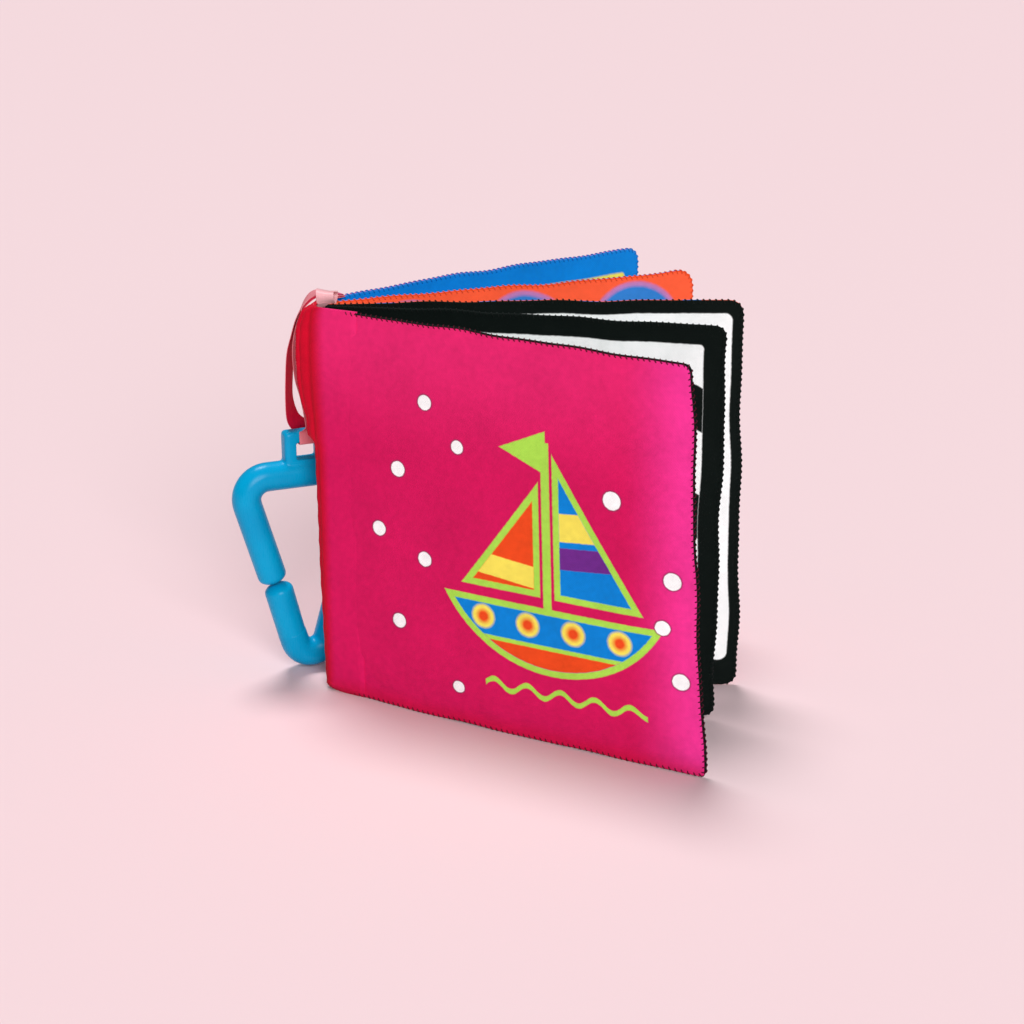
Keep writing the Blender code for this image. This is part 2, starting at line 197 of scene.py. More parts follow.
def leaf_matrix(leaf):
    place, angle, offset = leaf_places[leaf]
    turn = Matrix.Rotation(math.radians(angle), 4, "Z")
    return Matrix.Translation(place) @ turn @ Matrix.Translation((0, offset, 0))


def to_world(matrix, points):
    """Points of a leaf's own frame, in rows of x, y and z, as world points."""
    turn = np.array(matrix.to_3x3())
    return np.asarray(points) @ turn.T + np.array(matrix.translation)


def smooth_share(value):
    share = np.clip(value, 0, 1)
    return share * share * (3 - 2 * share)


# %% [markdown]
# ## How the cloth settles
#
# No cloth page stays a true rectangle. In the photograph the front cover
# flares at its lower corner, the orange page's upper corner curls up, and the
# pages rise a little where they are gathered into the spine. One function
# bends every piece of a leaf in the same way, so that the panels, the sewing
# thread and the spine still meet.

# %% Settling of each leaf
# For each leaf, in mm: how far its outer upper, outer lower and inner upper
# corners move along and up the page, how far it bows, and how far it twists
settled = {
    "front_cover": ((0.8, -0.4), (5.6, 0.2), (-0.2, 0.9), -0.5, -0.9),
    "page_1": ((-2.0, 0.9), (-3.4, 1.5), (0, 1.8), 0.3, 0.6),
    "page_2": ((1.5, 2.6), (3.2, 0.1), (0, 1.4), -0.2, -0.5),
    "page_3": ((0.8, -1.7), (-2.2, 0.6), (0, 1.2), 0.4, 0.8),
    "back_cover": ((0.8, 0.6), (1.6, 0.1), (0, 2.2), 0.5, -1.0),
}
edge_wave = 0.35 * mm
cover_flare = 2.6
cover_bulge = 1.6
corner_curl = 1.9


def settle(leaf, points):
    """Moves a leaf's flat points to where its cloth hangs."""
    points = np.array(points, float)
    (top_x, top_z), (low_x, low_z), (root_x, root_z), bow, twist = settled[leaf]
    along = (points[:, 0] - hinge_margin) / page_width
    out = np.clip(along, 0, 1)
    up = np.clip(points[:, 2] / page_height, 0, 1)
    seed = leaf_order.index(leaf)
    shift_x = out * (up * top_x + (1 - up) * low_x) + (1 - out) * up * root_x
    shift_z = out * (up * top_z + (1 - up) * low_z)
    crest = np.sin(math.pi * np.clip(out * 0.9 + 0.1, 0, 1)) ** 2
    shift_z += up ** 3 * (1 - out) * root_z * (0.4 + 0.6 * crest)
    wave = np.sin(out * 21 + seed * 1.7) + 0.6 * np.sin(out * 37 + seed * 2.9)
    shift_z += edge_wave / mm * wave * (up ** 6 + 0.6 * (1 - up) ** 6) * out * (1 - out) * 3
    ripple = np.sin(up * 17 + seed * 2.3) + 0.5 * np.sin(up * 31 + seed)
    shift_x += edge_wave / mm * ripple * out ** 8
    shift_y = bow * np.sin(math.pi * out) + twist * out ** 2 * (2 * up - 1)
    shift_y += 0.35 * np.sin(up * 9 + seed) * out ** 3
    if leaf == "front_cover":
        shift_x += cover_flare * (1 - up) ** 4 * out ** 4
        shift_y -= cover_bulge * (1 - up) ** 4 * np.clip(out * 4, 0, 1)
    if leaf == "page_3":
        shift_z += corner_curl * out ** 8 * up ** 3
    points[:, 0] += shift_x * mm
    points[:, 1] += shift_y * mm
    points[:, 2] = np.maximum(points[:, 2] + shift_z * mm, 0)
    return points


# %% [markdown]
# ## The grid of a cloth panel
#
# A panel needs enough squares to wrinkle, closer together beside the seam
# where the puckers are. A plain grid has sharp corners, so the squares inside
# each outer corner are bent into a quarter disc. Filling the outline with a
# grid keeps the simulated cloth even; a fan of triangles would fold badly.

# %% Panel grid
corner_radii = {"front_cover": 2.4, "page_1": 4, "page_2": 4.5, "page_3": 6.5, "back_cover": 4.5}
root_edge = 0.3 * mm
outer_edge = hinge_margin + page_width
seam_lines = np.array([0, 0.9, 2.0, 3.6]) * mm
grid_step = 2.5 * mm


def spaced(low, high):
    """Grid lines from low to high, closer together beside both."""
    first = low + seam_lines[-1]
    last = high - seam_lines[-1]
    steps = round((last - first) / grid_step)
    middle = np.linspace(first, last, steps + 1)
    return np.concatenate([low + seam_lines[:-1], middle, (high - seam_lines[:-1])[::-1]])


def round_corners(across, up, radius):
    """Bends the squares in the two outer corners into quarter discs."""
    across = across.copy()
    up = up.copy()
    for lower in (True, False):
        out = across - (outer_edge - radius)
        beyond = radius - up if lower else up - (page_height - radius)
        corner = (out > 0) & (beyond > 0)
        a = out[corner]
        b = beyond[corner]
        longest = np.maximum(a, b)
        angle = np.minimum(a, b) / longest * math.pi / 4
        near = longest * np.cos(angle)
        far = longest * np.sin(angle)
        across[corner] = outer_edge - radius + np.where(a >= b, near, far)
        bent = np.where(a >= b, far, near)
        up[corner] = radius - bent if lower else page_height - radius + bent
    return across, up


square_across, square_up = np.meshgrid(
    spaced(root_edge, outer_edge), spaced(0, page_height), indexing="ij"
)
columns, rows = square_across.shape
inset = np.minimum(
    np.minimum(square_across - root_edge, outer_edge - square_across),
    np.minimum(square_up, page_height - square_up),
)
leaf_grids = {
    leaf: round_corners(square_across, square_up, radius * mm)
    for leaf, radius in corner_radii.items()
}
number = np.arange(columns * rows).reshape(columns, rows)
rim = list(number[:, 0]) + list(number[-1, 1:]) + list(number[-2::-1, -1])
rim += list(number[0, -2:0:-1])
print("panel grid:", columns, "by", rows)


def grid_faces(start=0, flipped=False):
    """The squares between neighbouring grid points."""
    a = number[:-1, :-1].ravel() + start
    b = number[1:, :-1].ravel() + start
    c = number[1:, 1:].ravel() + start
    d = number[:-1, 1:].ravel() + start
    order = (a, d, c, b) if flipped else (a, b, c, d)
    return [tuple(int(v) for v in square) for square in zip(*order)]


# %% [markdown]
# ## Filling the leaf
#
# A real leaf is two flat pieces of fabric, sewn together all round and pushed
# apart by film and wadding. The seam holds the edge flat, so the cloth beside
# it gathers into small puckers. Displacing a plane by noise would only look
# bumpy. Blender's cloth with a little slack and a gentle inner pressure finds
# the puckers by itself. It runs once for each leaf, from a slightly different
# start, so no two leaves are alike.

# %% Cloth simulation
rim_half = 0.5 * mm
body_half = 0.7 * mm
simulation_frames = 20


def start_height(seed):
    """Half the leaf's thickness before the cloth is let go."""
    generator = np.random.default_rng(seed)
    noise = generator.normal(0, 0.05 * mm, inset.shape)
    rise = smooth_share((inset - 2 * mm) / (10 * mm))
    return rim_half + rise * (body_half + noise)


def simulate_pad(leaf, seed):
    """Blows up one leaf between its seams; returns both faces' points."""
    half = start_height(seed)
    across, up = leaf_grids[leaf]
    front = np.stack([across, -half, up], -1).reshape(-1, 3)
    back = front * (1, -1, 1)
    start = np.concatenate([front, back])
    faces = grid_faces() + grid_faces(columns * rows, True)
    other = [int(index + columns * rows) for index in rim]
    for a, b, c, d in zip(rim, rim[1:] + rim[:1], other[1:] + other[:1], other):
        faces.append((int(b), int(a), d, c))
    mesh = bpy.data.meshes.new("pad")
    mesh.from_pydata(start.tolist(), [], faces)
    pad = bpy.data.objects.new("pad", mesh)
    bpy.context.scene.collection.objects.link(pad)
    held = pad.vertex_groups.new(name="held")
    seam = np.tile(inset.ravel(), 2)
    for weight, where in ((1, seam < 1 * mm), (0.5, (seam >= 1 * mm) & (seam < 2.4 * mm))):
        held.add([int(index) for index in np.nonzero(where)[0]], weight, "REPLACE")
    cloth = pad.modifiers.new("cloth", "CLOTH")
    cloth.settings.quality = 6
    cloth.settings.mass = 0.15
    cloth.settings.tension_stiffness = 15
    cloth.settings.compression_stiffness = 15
    cloth.settings.shear_stiffness = 5
    cloth.settings.bending_stiffness = 0.05
    cloth.settings.use_pressure = True
    cloth.settings.uniform_pressure_force = 1
    cloth.settings.vertex_group_mass = "held"
    cloth.settings.shrink_min = -0.005
    cloth.settings.effector_weights.gravity = 0
    cloth.point_cache.frame_start = 1
    cloth.point_cache.frame_end = simulation_frames
    for step in range(1, simulation_frames + 1):
        bpy.context.scene.frame_set(step)
    evaluated = pad.evaluated_get(bpy.context.evaluated_depsgraph_get())
    result = np.array([tuple(vertex.co) for vertex in evaluated.to_mesh().vertices])
    evaluated.to_mesh_clear()
    bpy.data.objects.remove(pad)
    bpy.data.meshes.remove(mesh)
    bpy.context.scene.frame_set(1)
    return result


# %% [markdown]
# The leaves must still close on each other, and near the spine there is little
# room. So the swelling is capped by a wedge that opens away from the spine. A
# soft cap, here tanh, keeps the puckers, where a hard limit would shave them
# flat.

# %% Cap on the swelling
cap_at_spine = 1.05 * mm
cap_rise = 0.024
cap_most = 2.3 * mm


def cap_swelling(points):
    room = np.minimum(cap_at_spine + cap_rise * points[:, 0], cap_most)
    points = points.copy()
    points[:, 1] = room * np.tanh(points[:, 1] / room)
    return points


# %% [markdown]
# ## Shader helpers
#
# Every finish here is made of nodes. Three short functions keep the material
# code readable: one adds a node and fills its sockets, one does a sum, and one
# starts a node group with named sockets. A group is built once and used by
# many materials, each with its own values.

# %% Node helpers


def add_node(tree, kind, inputs=None, **settings):
    """Adds a node. An input is a socket to link or a plain value."""
    node = tree.nodes.new("ShaderNode" + kind)
    for key, value in settings.items():
        setattr(node, key, value)
    for key, value in (inputs or {}).items():
        if isinstance(value, bpy.types.NodeSocket):
            tree.links.new(value, node.inputs[key])
        else:
            node.inputs[key].default_value = value
    return node


def sum_of(tree, operation, *values, clamp=False):
    """The result socket of one Math node."""
    inputs = {index: value for index, value in enumerate(values)}
    return add_node(tree, "Math", inputs, operation=operation, use_clamp=clamp).outputs[0]


def vector_sum(tree, operation, *values):
    inputs = {index: value for index, value in enumerate(values)}
    node = add_node(tree, "VectorMath", inputs, operation=operation)
    scalar = operation in ("DISTANCE", "DOT_PRODUCT", "LENGTH")
    return node.outputs["Value" if scalar else "Vector"]


def start_group(name, inputs, outputs):
    """An empty node group; returns it with its inner input and output sockets."""
    group = bpy.data.node_groups.new(name, "ShaderNodeTree")
    for title, kind, value in inputs:
        made = group.interface.new_socket(title, in_out="INPUT", socket_type="NodeSocket" + kind)
        if value is not None:
            made.default_value = value
    for title, kind in outputs:
        group.interface.new_socket(title, in_out="OUTPUT", socket_type="NodeSocket" + kind)
    given = group.nodes.new("NodeGroupInput")
    wanted = group.nodes.new("NodeGroupOutput")
    return group, given.outputs, wanted.inputs


def use_group(tree, group, inputs):
    """Places a group in a tree and returns its outputs."""
    node = tree.nodes.new("ShaderNodeGroup")
    node.node_tree = group
    for key, value in inputs.items():
        if isinstance(value, bpy.types.NodeSocket):
            tree.links.new(value, node.inputs[key])
        else:
            node.inputs[key].default_value = value
    return node.outputs


# %% [markdown]
# ## Where on the cloth we are
#
# A print belongs to the cloth, so its coordinates have to stay with it when a
# page bends. A UV map does that. Each piece stores its flat place in a map
# named print, 100 mm to one unit, and this group turns it back into
# millimetres. A little noise makes printed edges slightly uneven, as ink on a
# weave is.

# %% Group: print place
millimetres_per_unit = 100.0
print_place, given, wanted = start_group(
    "Print place", [("Wobble", "Float", 0.25)], [("Place", "Vector")]
)
flat = add_node(print_place, "UVMap", uv_map="print").outputs[0]
measured = vector_sum(print_place, "MULTIPLY", flat, (millimetres_per_unit,) * 3)
uneven = add_node(print_place, "TexNoise", {"Vector": measured, "Scale": 0.9, "Detail": 3})
centred = vector_sum(print_place, "SUBTRACT", uneven.outputs["Color"], (0.5, 0.5, 0.5))
wobble_node = add_node(print_place, "VectorMath", {0: centred}, operation="SCALE")
print_place.links.new(given["Wobble"], wobble_node.inputs["Scale"])
moved = vector_sum(print_place, "ADD", measured, wobble_node.outputs["Vector"])
print_place.links.new(moved, wanted["Place"])

# %% [markdown]
# ## Printing with distances
#
# Each printed shape is described by a distance: below zero inside the shape,
# above zero outside it. Shapes then combine with plain sums: the larger of two
# distances is where both overlap, and the smaller is either of them. The Ink
# group lays a colour wherever its distance is below zero. No picture file is
# needed, and the print stays sharp at any zoom.

# %% Group: ink
ink, given, wanted = start_group(
    "Ink",
    [("Under", "Color", (1, 1, 1, 1)), ("Ink", "Color", (0, 0, 0, 1)),
     ("Distance", "Float", 0.0), ("Softness", "Float", 0.15)],
    [("Colour", "Color")],
)
negative = sum_of(ink, "MULTIPLY", given["Softness"], -1.0)
covered = add_node(
    ink, "MapRange",
    {"Value": given["Distance"], "From Min": given["Softness"], "From Max": negative},
)
inked = add_node(
    ink, "MixRGB",
    {"Fac": covered.outputs[0], "Color1": given["Under"], "Color2": given["Ink"]},
)
ink.links.new(inked.outputs[0], wanted["Colour"])

# %% Groups: simple shapes
half_plane, given, wanted = start_group(
    "Half plane",
    [("Place", "Vector", None), ("Corner", "Vector", None), ("Facing", "Vector", None)],
    [("Distance", "Float")],
)
beyond = vector_sum(half_plane, "SUBTRACT", given["Place"], given["Corner"])
half_plane.links.new(
    vector_sum(half_plane, "DOT_PRODUCT", beyond, given["Facing"]), wanted["Distance"]
)

disc, given, wanted = start_group(
    "Disc",
    [("Place", "Vector", None), ("Centre", "Vector", None), ("Radius", "Float", 3.0)],
    [("Distance", "Float")],
)
flattened = vector_sum(disc, "MULTIPLY", given["Place"], (1, 1, 0))
from_centre = vector_sum(disc, "DISTANCE", flattened, given["Centre"])
disc.links.new(sum_of(disc, "SUBTRACT", from_centre, given["Radius"]), wanted["Distance"])

disc_grid, given, wanted = start_group(
    "Disc grid",
    [("Place", "Vector", None), ("First", "Vector", None),
     ("Spacing", "Vector", (40, 40, 1)), ("Radius", "Float", 15.0)],
    [("Distance", "Float")],
)
from_first = vector_sum(disc_grid, "SUBTRACT", given["Place"], given["First"])
counted = vector_sum(disc_grid, "DIVIDE", from_first, given["Spacing"])
shifted = vector_sum(disc_grid, "ADD", counted, (0.5, 0.5, 0))
in_cell = vector_sum(disc_grid, "FRACTION", shifted)
about_middle = vector_sum(disc_grid, "SUBTRACT", in_cell, (0.5, 0.5, 0))
sized = vector_sum(disc_grid, "MULTIPLY", about_middle, given["Spacing"])
level = vector_sum(disc_grid, "MULTIPLY", sized, (1, 1, 0))
disc_grid.links.new(
    sum_of(disc_grid, "SUBTRACT", vector_sum(disc_grid, "LENGTH", level), given["Radius"]),
    wanted["Distance"],
)

rounded_panel, given, wanted = start_group(
    "Rounded panel",
    [("Place", "Vector", None), ("Centre", "Vector", None),
     ("Half size", "Vector", (60, 60, 0)), ("Corner", "Float", 3.0)],
    [("Distance", "Float")],
)
away = vector_sum(
    rounded_panel, "ABSOLUTE",
    vector_sum(rounded_panel, "SUBTRACT", given["Place"], given["Centre"]),
)
past = vector_sum(rounded_panel, "SUBTRACT", away, given["Half size"])
corner_vector = add_node(
    rounded_panel, "CombineXYZ", {"X": given["Corner"], "Y": given["Corner"]}
)
grown = vector_sum(rounded_panel, "ADD", past, corner_vector.outputs[0])
kept = vector_sum(
    rounded_panel, "MULTIPLY", vector_sum(rounded_panel, "MAXIMUM", grown, (0, 0, 0)), (1, 1, 0)
)
parts_of = add_node(rounded_panel, "SeparateXYZ", {0: grown}).outputs
inside = sum_of(rounded_panel, "MINIMUM", sum_of(
    rounded_panel, "MAXIMUM", parts_of["X"], parts_of["Y"]), 0.0)
outside = vector_sum(rounded_panel, "LENGTH", kept)
rounded_panel.links.new(
    sum_of(rounded_panel, "SUBTRACT", sum_of(rounded_panel, "ADD", inside, outside),
           given["Corner"]),
    wanted["Distance"],
)

zigzag, given, wanted = start_group(
    "Zigzag",
    [("Place", "Vector", None), ("Period", "Float", 31.5), ("Start", "Float", 0.0),
     ("Run", "Float", 20.0), ("Rise", "Float", 10.0), ("Half band", "Float", 7.0),
     ("Run start", "Float", 0.0)],
    [("Distance", "Float")],
)
sides = add_node(zigzag, "SeparateXYZ", {0: given["Place"]}).outputs
along_run = sum_of(zigzag, "SUBTRACT", sides["X"], given["Run start"])
folded = sum_of(zigzag, "PINGPONG", along_run, given["Run"])
slope = sum_of(zigzag, "DIVIDE", given["Rise"], given["Run"])
climbed = sum_of(zigzag, "MULTIPLY", folded, slope)
height = sum_of(zigzag, "SUBTRACT", sum_of(zigzag, "ADD", sides["Y"], climbed), given["Start"])
half_period = sum_of(zigzag, "MULTIPLY", given["Period"], 0.5)
from_band = sum_of(zigzag, "PINGPONG", height, half_period)
zigzag.links.new(
    sum_of(zigzag, "SUBTRACT", from_band, given["Half band"]), wanted["Distance"]
)
print("shape groups:", [group.name for group in bpy.data.node_groups])

# %% [markdown]
# ## The woven cloth itself
#
# The panels are printed polyester in a plain weave: threads that pass over and
# under each other, about 0.4 mm apart. Seen close, the print breaks up over
# the threads, and from further off the colour is slightly cloudy. This group
# does both. It gives a colour, a roughness and a height for a Bump node.

# %% Group: woven cloth
woven_cloth, given, wanted = start_group(
    "Woven cloth",
    [("Place", "Vector", None), ("Colour", "Color", (1, 1, 1, 1)),
     ("Thread pitch", "Float", 0.42), ("Cloudiness", "Float", 0.12)],
    [("Colour", "Color"), ("Roughness", "Float"), ("Height", "Float")],
)
sides = add_node(woven_cloth, "SeparateXYZ", {0: given["Place"]}).outputs
turns = {}
for axis in "XY":
    count = sum_of(woven_cloth, "DIVIDE", sides[axis], given["Thread pitch"])
    turns[axis] = sum_of(woven_cloth, "MULTIPLY", count, math.pi)
warp = sum_of(woven_cloth, "SINE", turns["X"])
weft = sum_of(woven_cloth, "SINE", turns["Y"])
over_under = sum_of(woven_cloth, "MULTIPLY", warp, weft)
thread_height = sum_of(woven_cloth, "MULTIPLY_ADD", over_under, 0.5, 0.5)
fuzz = add_node(
    woven_cloth, "TexNoise", {"Vector": given["Place"], "Scale": 2.2, "Detail": 4}
).outputs["Fac"]
clouds = add_node(
    woven_cloth, "TexNoise", {"Vector": given["Place"], "Scale": 0.055, "Detail": 5}
).outputs["Fac"]
blotches = add_node(
    woven_cloth, "TexNoise", {"Vector": given["Place"], "Scale": 0.45, "Detail": 2}
).outputs["Fac"]
cloud_depth = sum_of(woven_cloth, "MULTIPLY", sum_of(
    woven_cloth, "SUBTRACT", clouds, 0.5), given["Cloudiness"])
blotch_depth = sum_of(woven_cloth, "MULTIPLY", sum_of(
    woven_cloth, "SUBTRACT", blotches, 0.5), sum_of(
    woven_cloth, "MULTIPLY", given["Cloudiness"], 0.9))
thread_depth = sum_of(woven_cloth, "MULTIPLY_ADD", thread_height, 0.10, 0.95)
fuzz_depth = sum_of(woven_cloth, "MULTIPLY_ADD", fuzz, 0.20, -0.10)
tone = sum_of(woven_cloth, "ADD", thread_depth, fuzz_depth)
tone = sum_of(woven_cloth, "ADD", tone, sum_of(
    woven_cloth, "MULTIPLY", sum_of(woven_cloth, "ADD", cloud_depth, blotch_depth), 2.0))
shade = add_node(woven_cloth, "CombineColor", {"Red": tone, "Green": tone, "Blue": tone})
toned = add_node(
    woven_cloth, "MixRGB",
    {"Fac": 1.0, "Color1": given["Colour"], "Color2": shade.outputs[0]},
    blend_type="MULTIPLY",
)
woven_cloth.links.new(toned.outputs[0], wanted["Colour"])
woven_cloth.links.new(
    sum_of(woven_cloth, "MULTIPLY_ADD", fuzz, 0.2, 0.68), wanted["Roughness"]
)
woven_cloth.links.new(
    sum_of(woven_cloth, "MULTIPLY_ADD", fuzz, 0.5, thread_height), wanted["Height"]
)

# %% [markdown]
# ## A printed material
#
# A cloth material is the same for every panel: find the place, print the
# shapes, weave the result, and shade it with a Principled shader that has a
# little sheen for the fuzz of fine threads. Only the print differs, so it
# comes in as a function that receives the tree, the place and the colour so
# far, and returns the next colour.

# %% Cloth material
pink = (0.66, 0.006, 0.104, 1)
# The next three colours are painted light and shade: the bright pink and the rose are painted
# light, the crimson is painted shade.
painted_light_pink = (0.93, 0.030, 0.205, 1)
crimson = (0.60, 0.001, 0.022, 1)
rose = (0.96, 0.045, 0.36, 1)
black = (0.0015, 0.0045, 0.0035, 1)
white = (0.98, 1.0, 0.995, 1)
orange = (0.98, 0.125, 0.045, 1)
red_orange = (0.86, 0.075, 0.012, 1)
blue = (0.001, 0.235, 0.72, 1)
deep_blue = (0.030, 0.225, 0.66, 1)
lilac = (0.50, 0.22, 0.52, 1)
lime = (0.42, 0.78, 0.085, 1)
yellow = (0.93, 0.80, 0.11, 1)
purple = (0.16, 0.025, 0.27, 1)
sheen = 0.02
weave_depth = 0.05 * mm


def printed_cloth(name, ground, artwork=None, wobble=0.35, cloudiness=0.12):
    made = bpy.data.materials.new(name)
    made.use_nodes = True
    tree = made.node_tree
    place = use_group(tree, print_place, {"Wobble": wobble})["Place"]
    colour = artwork(tree, place, ground) if artwork else ground
    woven = use_group(
        tree, woven_cloth, {"Place": place, "Colour": colour, "Cloudiness": cloudiness}
    )
    shader = tree.nodes["Principled BSDF"]
    tree.links.new(woven["Colour"], shader.inputs["Base Color"])
    tree.links.new(woven["Roughness"], shader.inputs["Roughness"])
    shader.inputs["Sheen Weight"].default_value = sheen
    shader.inputs["Sheen Roughness"].default_value = 0.4
    shader.inputs["Specular IOR Level"].default_value = 0.12
    bump = add_node(
        tree, "Bump", {"Height": woven["Height"], "Strength": 0.5, "Distance": weave_depth}
    )
    tree.links.new(bump.outputs[0], shader.inputs["Normal"])
    return made


def lay(tree, under, colour, distance, softness=0.2):
    """Prints one colour wherever the distance is below zero."""
    return use_group(
        tree, ink, {"Under": under, "Ink": colour, "Distance": distance, "Softness": softness}
    )["Colour"]


def disc_at(tree, place, across, up, radius):
    return use_group(
        tree, disc, {"Place": place, "Centre": (across, up, 0), "Radius": radius}
    )["Distance"]


def polygon(tree, place, corners):
    """The distance to a convex shape, whose corners run anticlockwise."""
    distance = None
    for (x, y), (next_x, next_y) in zip(corners, corners[1:] + corners[:1]):
        length = math.hypot(next_x - x, next_y - y)
        facing = ((next_y - y) / length, (x - next_x) / length, 0)
        side = use_group(
            tree, half_plane, {"Place": place, "Corner": (x, y, 0), "Facing": facing}
        )["Distance"]
        distance = side if distance is None else sum_of(tree, "MAXIMUM", distance, side)
    return distance


# %% [markdown]
# ## The front cover's print
#
# The cover is magenta with scattered white dots, and one large bright drawing
# with lime green outlines. The drawing here is a plain toy sailboat: outlined
# shapes in lime, blue, yellow, purple and orange. Light and shade are painted
# into its cloth: crimson painted shade beside the spine and along the lower
# seam, and brighter pink painted light towards the top and the outer edge.

# %% Front cover artwork
cover_dots = (
    (36.8, 105.3, 2.4), (48.4, 92.7, 2.1), (26.2, 82.1, 2.5), (18.4, 61.0, 2.4),
    (35.5, 53.8, 2.4), (25.4, 31.0, 2.4), (47.0, 12.6, 2.0), (101.5, 84.5, 2.9),
    (120.2, 62.0, 2.7), (117.0, 46.5, 2.4), (122.0, 29.8, 2.6),
)
outline_half = 1.05


def ramp_between(tree, value, start, end):
    """0 where the value is at start, 1 where it is at end."""
    return add_node(
        tree, "MapRange", {"Value": value, "From Min": start, "From Max": end},
        interpolation_type="SMOOTHSTEP",
    ).outputs[0]


def tinted(tree, share, colour, tint):
    return add_node(
        tree, "MixRGB", {"Fac": share, "Color1": colour, "Color2": tint}
    ).outputs[0]


def painted_light_and_shade(tree, place, colour):
    """Painted light and shade: crimson shade beside the spine and at the foot, brighter pink and
    rose light towards the top and outer edge.
    """
    sides = add_node(tree, "SeparateXYZ", {0: place}).outputs
    # Painted light: brighter pink towards the top.
    high = sum_of(tree, "MULTIPLY", ramp_between(tree, sides["Y"], 82.0, 128.0), 0.55)
    colour = tinted(tree, high, colour, painted_light_pink)
    # Painted highlight: rose towards the outer edge.
    painted_edge_light = sum_of(tree, "MULTIPLY", ramp_between(tree, sides["X"], 104.0, 129.0), 0.85)
    colour = tinted(tree, painted_edge_light, colour, rose)
    # Painted shade: crimson along the foot and beside the spine.
    painted_foot_shade = sum_of(tree, "MULTIPLY", ramp_between(tree, sides["Y"], 7.0, -2.0), 0.7)
    painted_spine_shade = ramp_between(tree, sides["X"], 0.0, -4.5)
    return tinted(tree, sum_of(tree, "MAXIMUM", painted_foot_shade, painted_spine_shade), colour, crimson)


def outlined(tree, colour, distance, fill):
    """A filled shape with a lime outline along its edge."""
    edge = sum_of(tree, "SUBTRACT", distance, outline_half)
    inner = sum_of(tree, "ADD", distance, outline_half)
    return lay(tree, lay(tree, colour, lime, edge), fill, inner), inner


def band_inside(tree, place, colour, inner, low, high, fill, slope=0.0):
    """A coloured band across a shape, between two heights."""
    down = use_group(tree, half_plane, {
        "Place": place, "Corner": (0, low, 0), "Facing": (slope, -1, 0)})["Distance"]
    upper = use_group(tree, half_plane, {
        "Place": place, "Corner": (0, high, 0), "Facing": (-slope, 1, 0)})["Distance"]
    band = sum_of(tree, "MAXIMUM", inner, sum_of(tree, "MAXIMUM", down, upper))
    return lay(tree, colour, fill, band)


def lining_edge(tree, place, colour, lining, top, side, corner):
    """A narrow band in the lining colour along the top and outer edge; on the front cover it is
    the black back panel showing past the front panel.
    """
    panel = use_group(tree, rounded_panel, {
        "Place": place,
        "Centre": ((128 - side) / 2 - 20, (130 - top) / 2 - 20, 0),
        "Half size": ((128 - side) / 2 + 20, (130 - top) / 2 + 20, 0),
        "Corner": corner,
    })["Distance"]
    return lay(tree, colour, lining, sum_of(tree, "MULTIPLY", panel, -1.0), 0.1)


def sailboat(tree, place, colour):
    mast = polygon(tree, place, [(77.6, 44), (80.4, 44), (80.4, 99), (77.6, 99)])
    colour = lay(tree, colour, lime, mast)
    pennant = polygon(tree, place, [(66, 95.5), (78.2, 90.5), (78.2, 101)])
    colour, _ = outlined(tree, colour, pennant, lime)
    main_sail = polygon(tree, place, [(82.5, 50), (109, 50), (82.5, 92)])
    colour, inner = outlined(tree, colour, main_sail, blue)
    colour = band_inside(tree, place, colour, inner, 51, 58, purple, 0.1)
    colour = band_inside(tree, place, colour, inner, 60, 69, yellow, 0.1)
    small_sail = polygon(tree, place, [(51, 50), (75.5, 50), (75.5, 83)])
    colour, inner = outlined(tree, colour, small_sail, red_orange)
    colour = band_inside(tree, place, colour, inner, 59, 66, yellow, -0.1)
    bowl = disc_at(tree, place, 80, 66, 41.5)
    sides = add_node(tree, "SeparateXYZ", {0: place}).outputs
    deck = sum_of(tree, "SUBTRACT", sides["Y"], 44.5)
    hull = sum_of(tree, "MAXIMUM", bowl, deck)
    colour, inner = outlined(tree, colour, hull, blue)
    colour = band_inside(tree, place, colour, inner, 10, 32.5, red_orange)
    colour = band_inside(tree, place, colour, inner, 31.8, 33.2, lime)
    for across in (56.5, 72, 87.5, 103):
        colour = lay(tree, colour, yellow, disc_at(tree, place, across, 39, 3.9), 0.5)
        colour = lay(tree, colour, red_orange, disc_at(tree, place, across, 39, 2.1), 0.8)
    wave = sum_of(tree, "SINE", sum_of(tree, "MULTIPLY", sides["X"], 0.55))
    wave_height = sum_of(tree, "MULTIPLY_ADD", wave, 1.6, 17.0)
    line = sum_of(tree, "SUBTRACT", sum_of(
        tree, "ABSOLUTE", sum_of(tree, "SUBTRACT", sides["Y"], wave_height)), 0.9)
    span = sum_of(tree, "SUBTRACT", sum_of(
        tree, "ABSOLUTE", sum_of(tree, "SUBTRACT", sides["X"], 84.0)), 27.0)
    return lay(tree, colour, lime, sum_of(tree, "MAXIMUM", line, span))


def front_cover_art(tree, place, ground):
    # Painted light and shade first, then the print.
    colour = painted_light_and_shade(tree, place, ground)
    colour = sailboat(tree, place, colour)
    for across, up, radius in cover_dots:
        spot = disc_at(tree, place, across, up, radius)
        colour = lay(tree, colour, (0.25, 0.03, 0.10, 1), sum_of(
            tree, "SUBTRACT", spot, 0.35), 0.35)
        colour = lay(tree, colour, white, spot, 0.15)
    return lining_edge(tree, place, colour, black, 0.5, 0.5, 2.4)


# %% [markdown]
# ## The inner pages' prints
#
# Books like this start with bold black and white pages for young eyes, in a
# black frame, and go on to strong plain colours. The patterns are simple ones
# that anyone may use: zigzags, rings, checks, dots and waves. Neighbouring
# pages share their colours, as they face each other when the book is open.

# %% Inner page artwork
def framed(tree, place, ground, paper, left, right, low, top, corner=3.0):
    """A frame in the ground's colour round a paler panel; widths in mm."""
    distance = use_group(tree, rounded_panel, {
        "Place": place,
        "Centre": ((128 + left - right) / 2, (130 + low - top) / 2, 0),
        "Half size": ((128 - left - right) / 2, (130 - low - top) / 2, 0),
        "Corner": corner,
    })["Distance"]
    return lay(tree, ground, paper, distance), distance


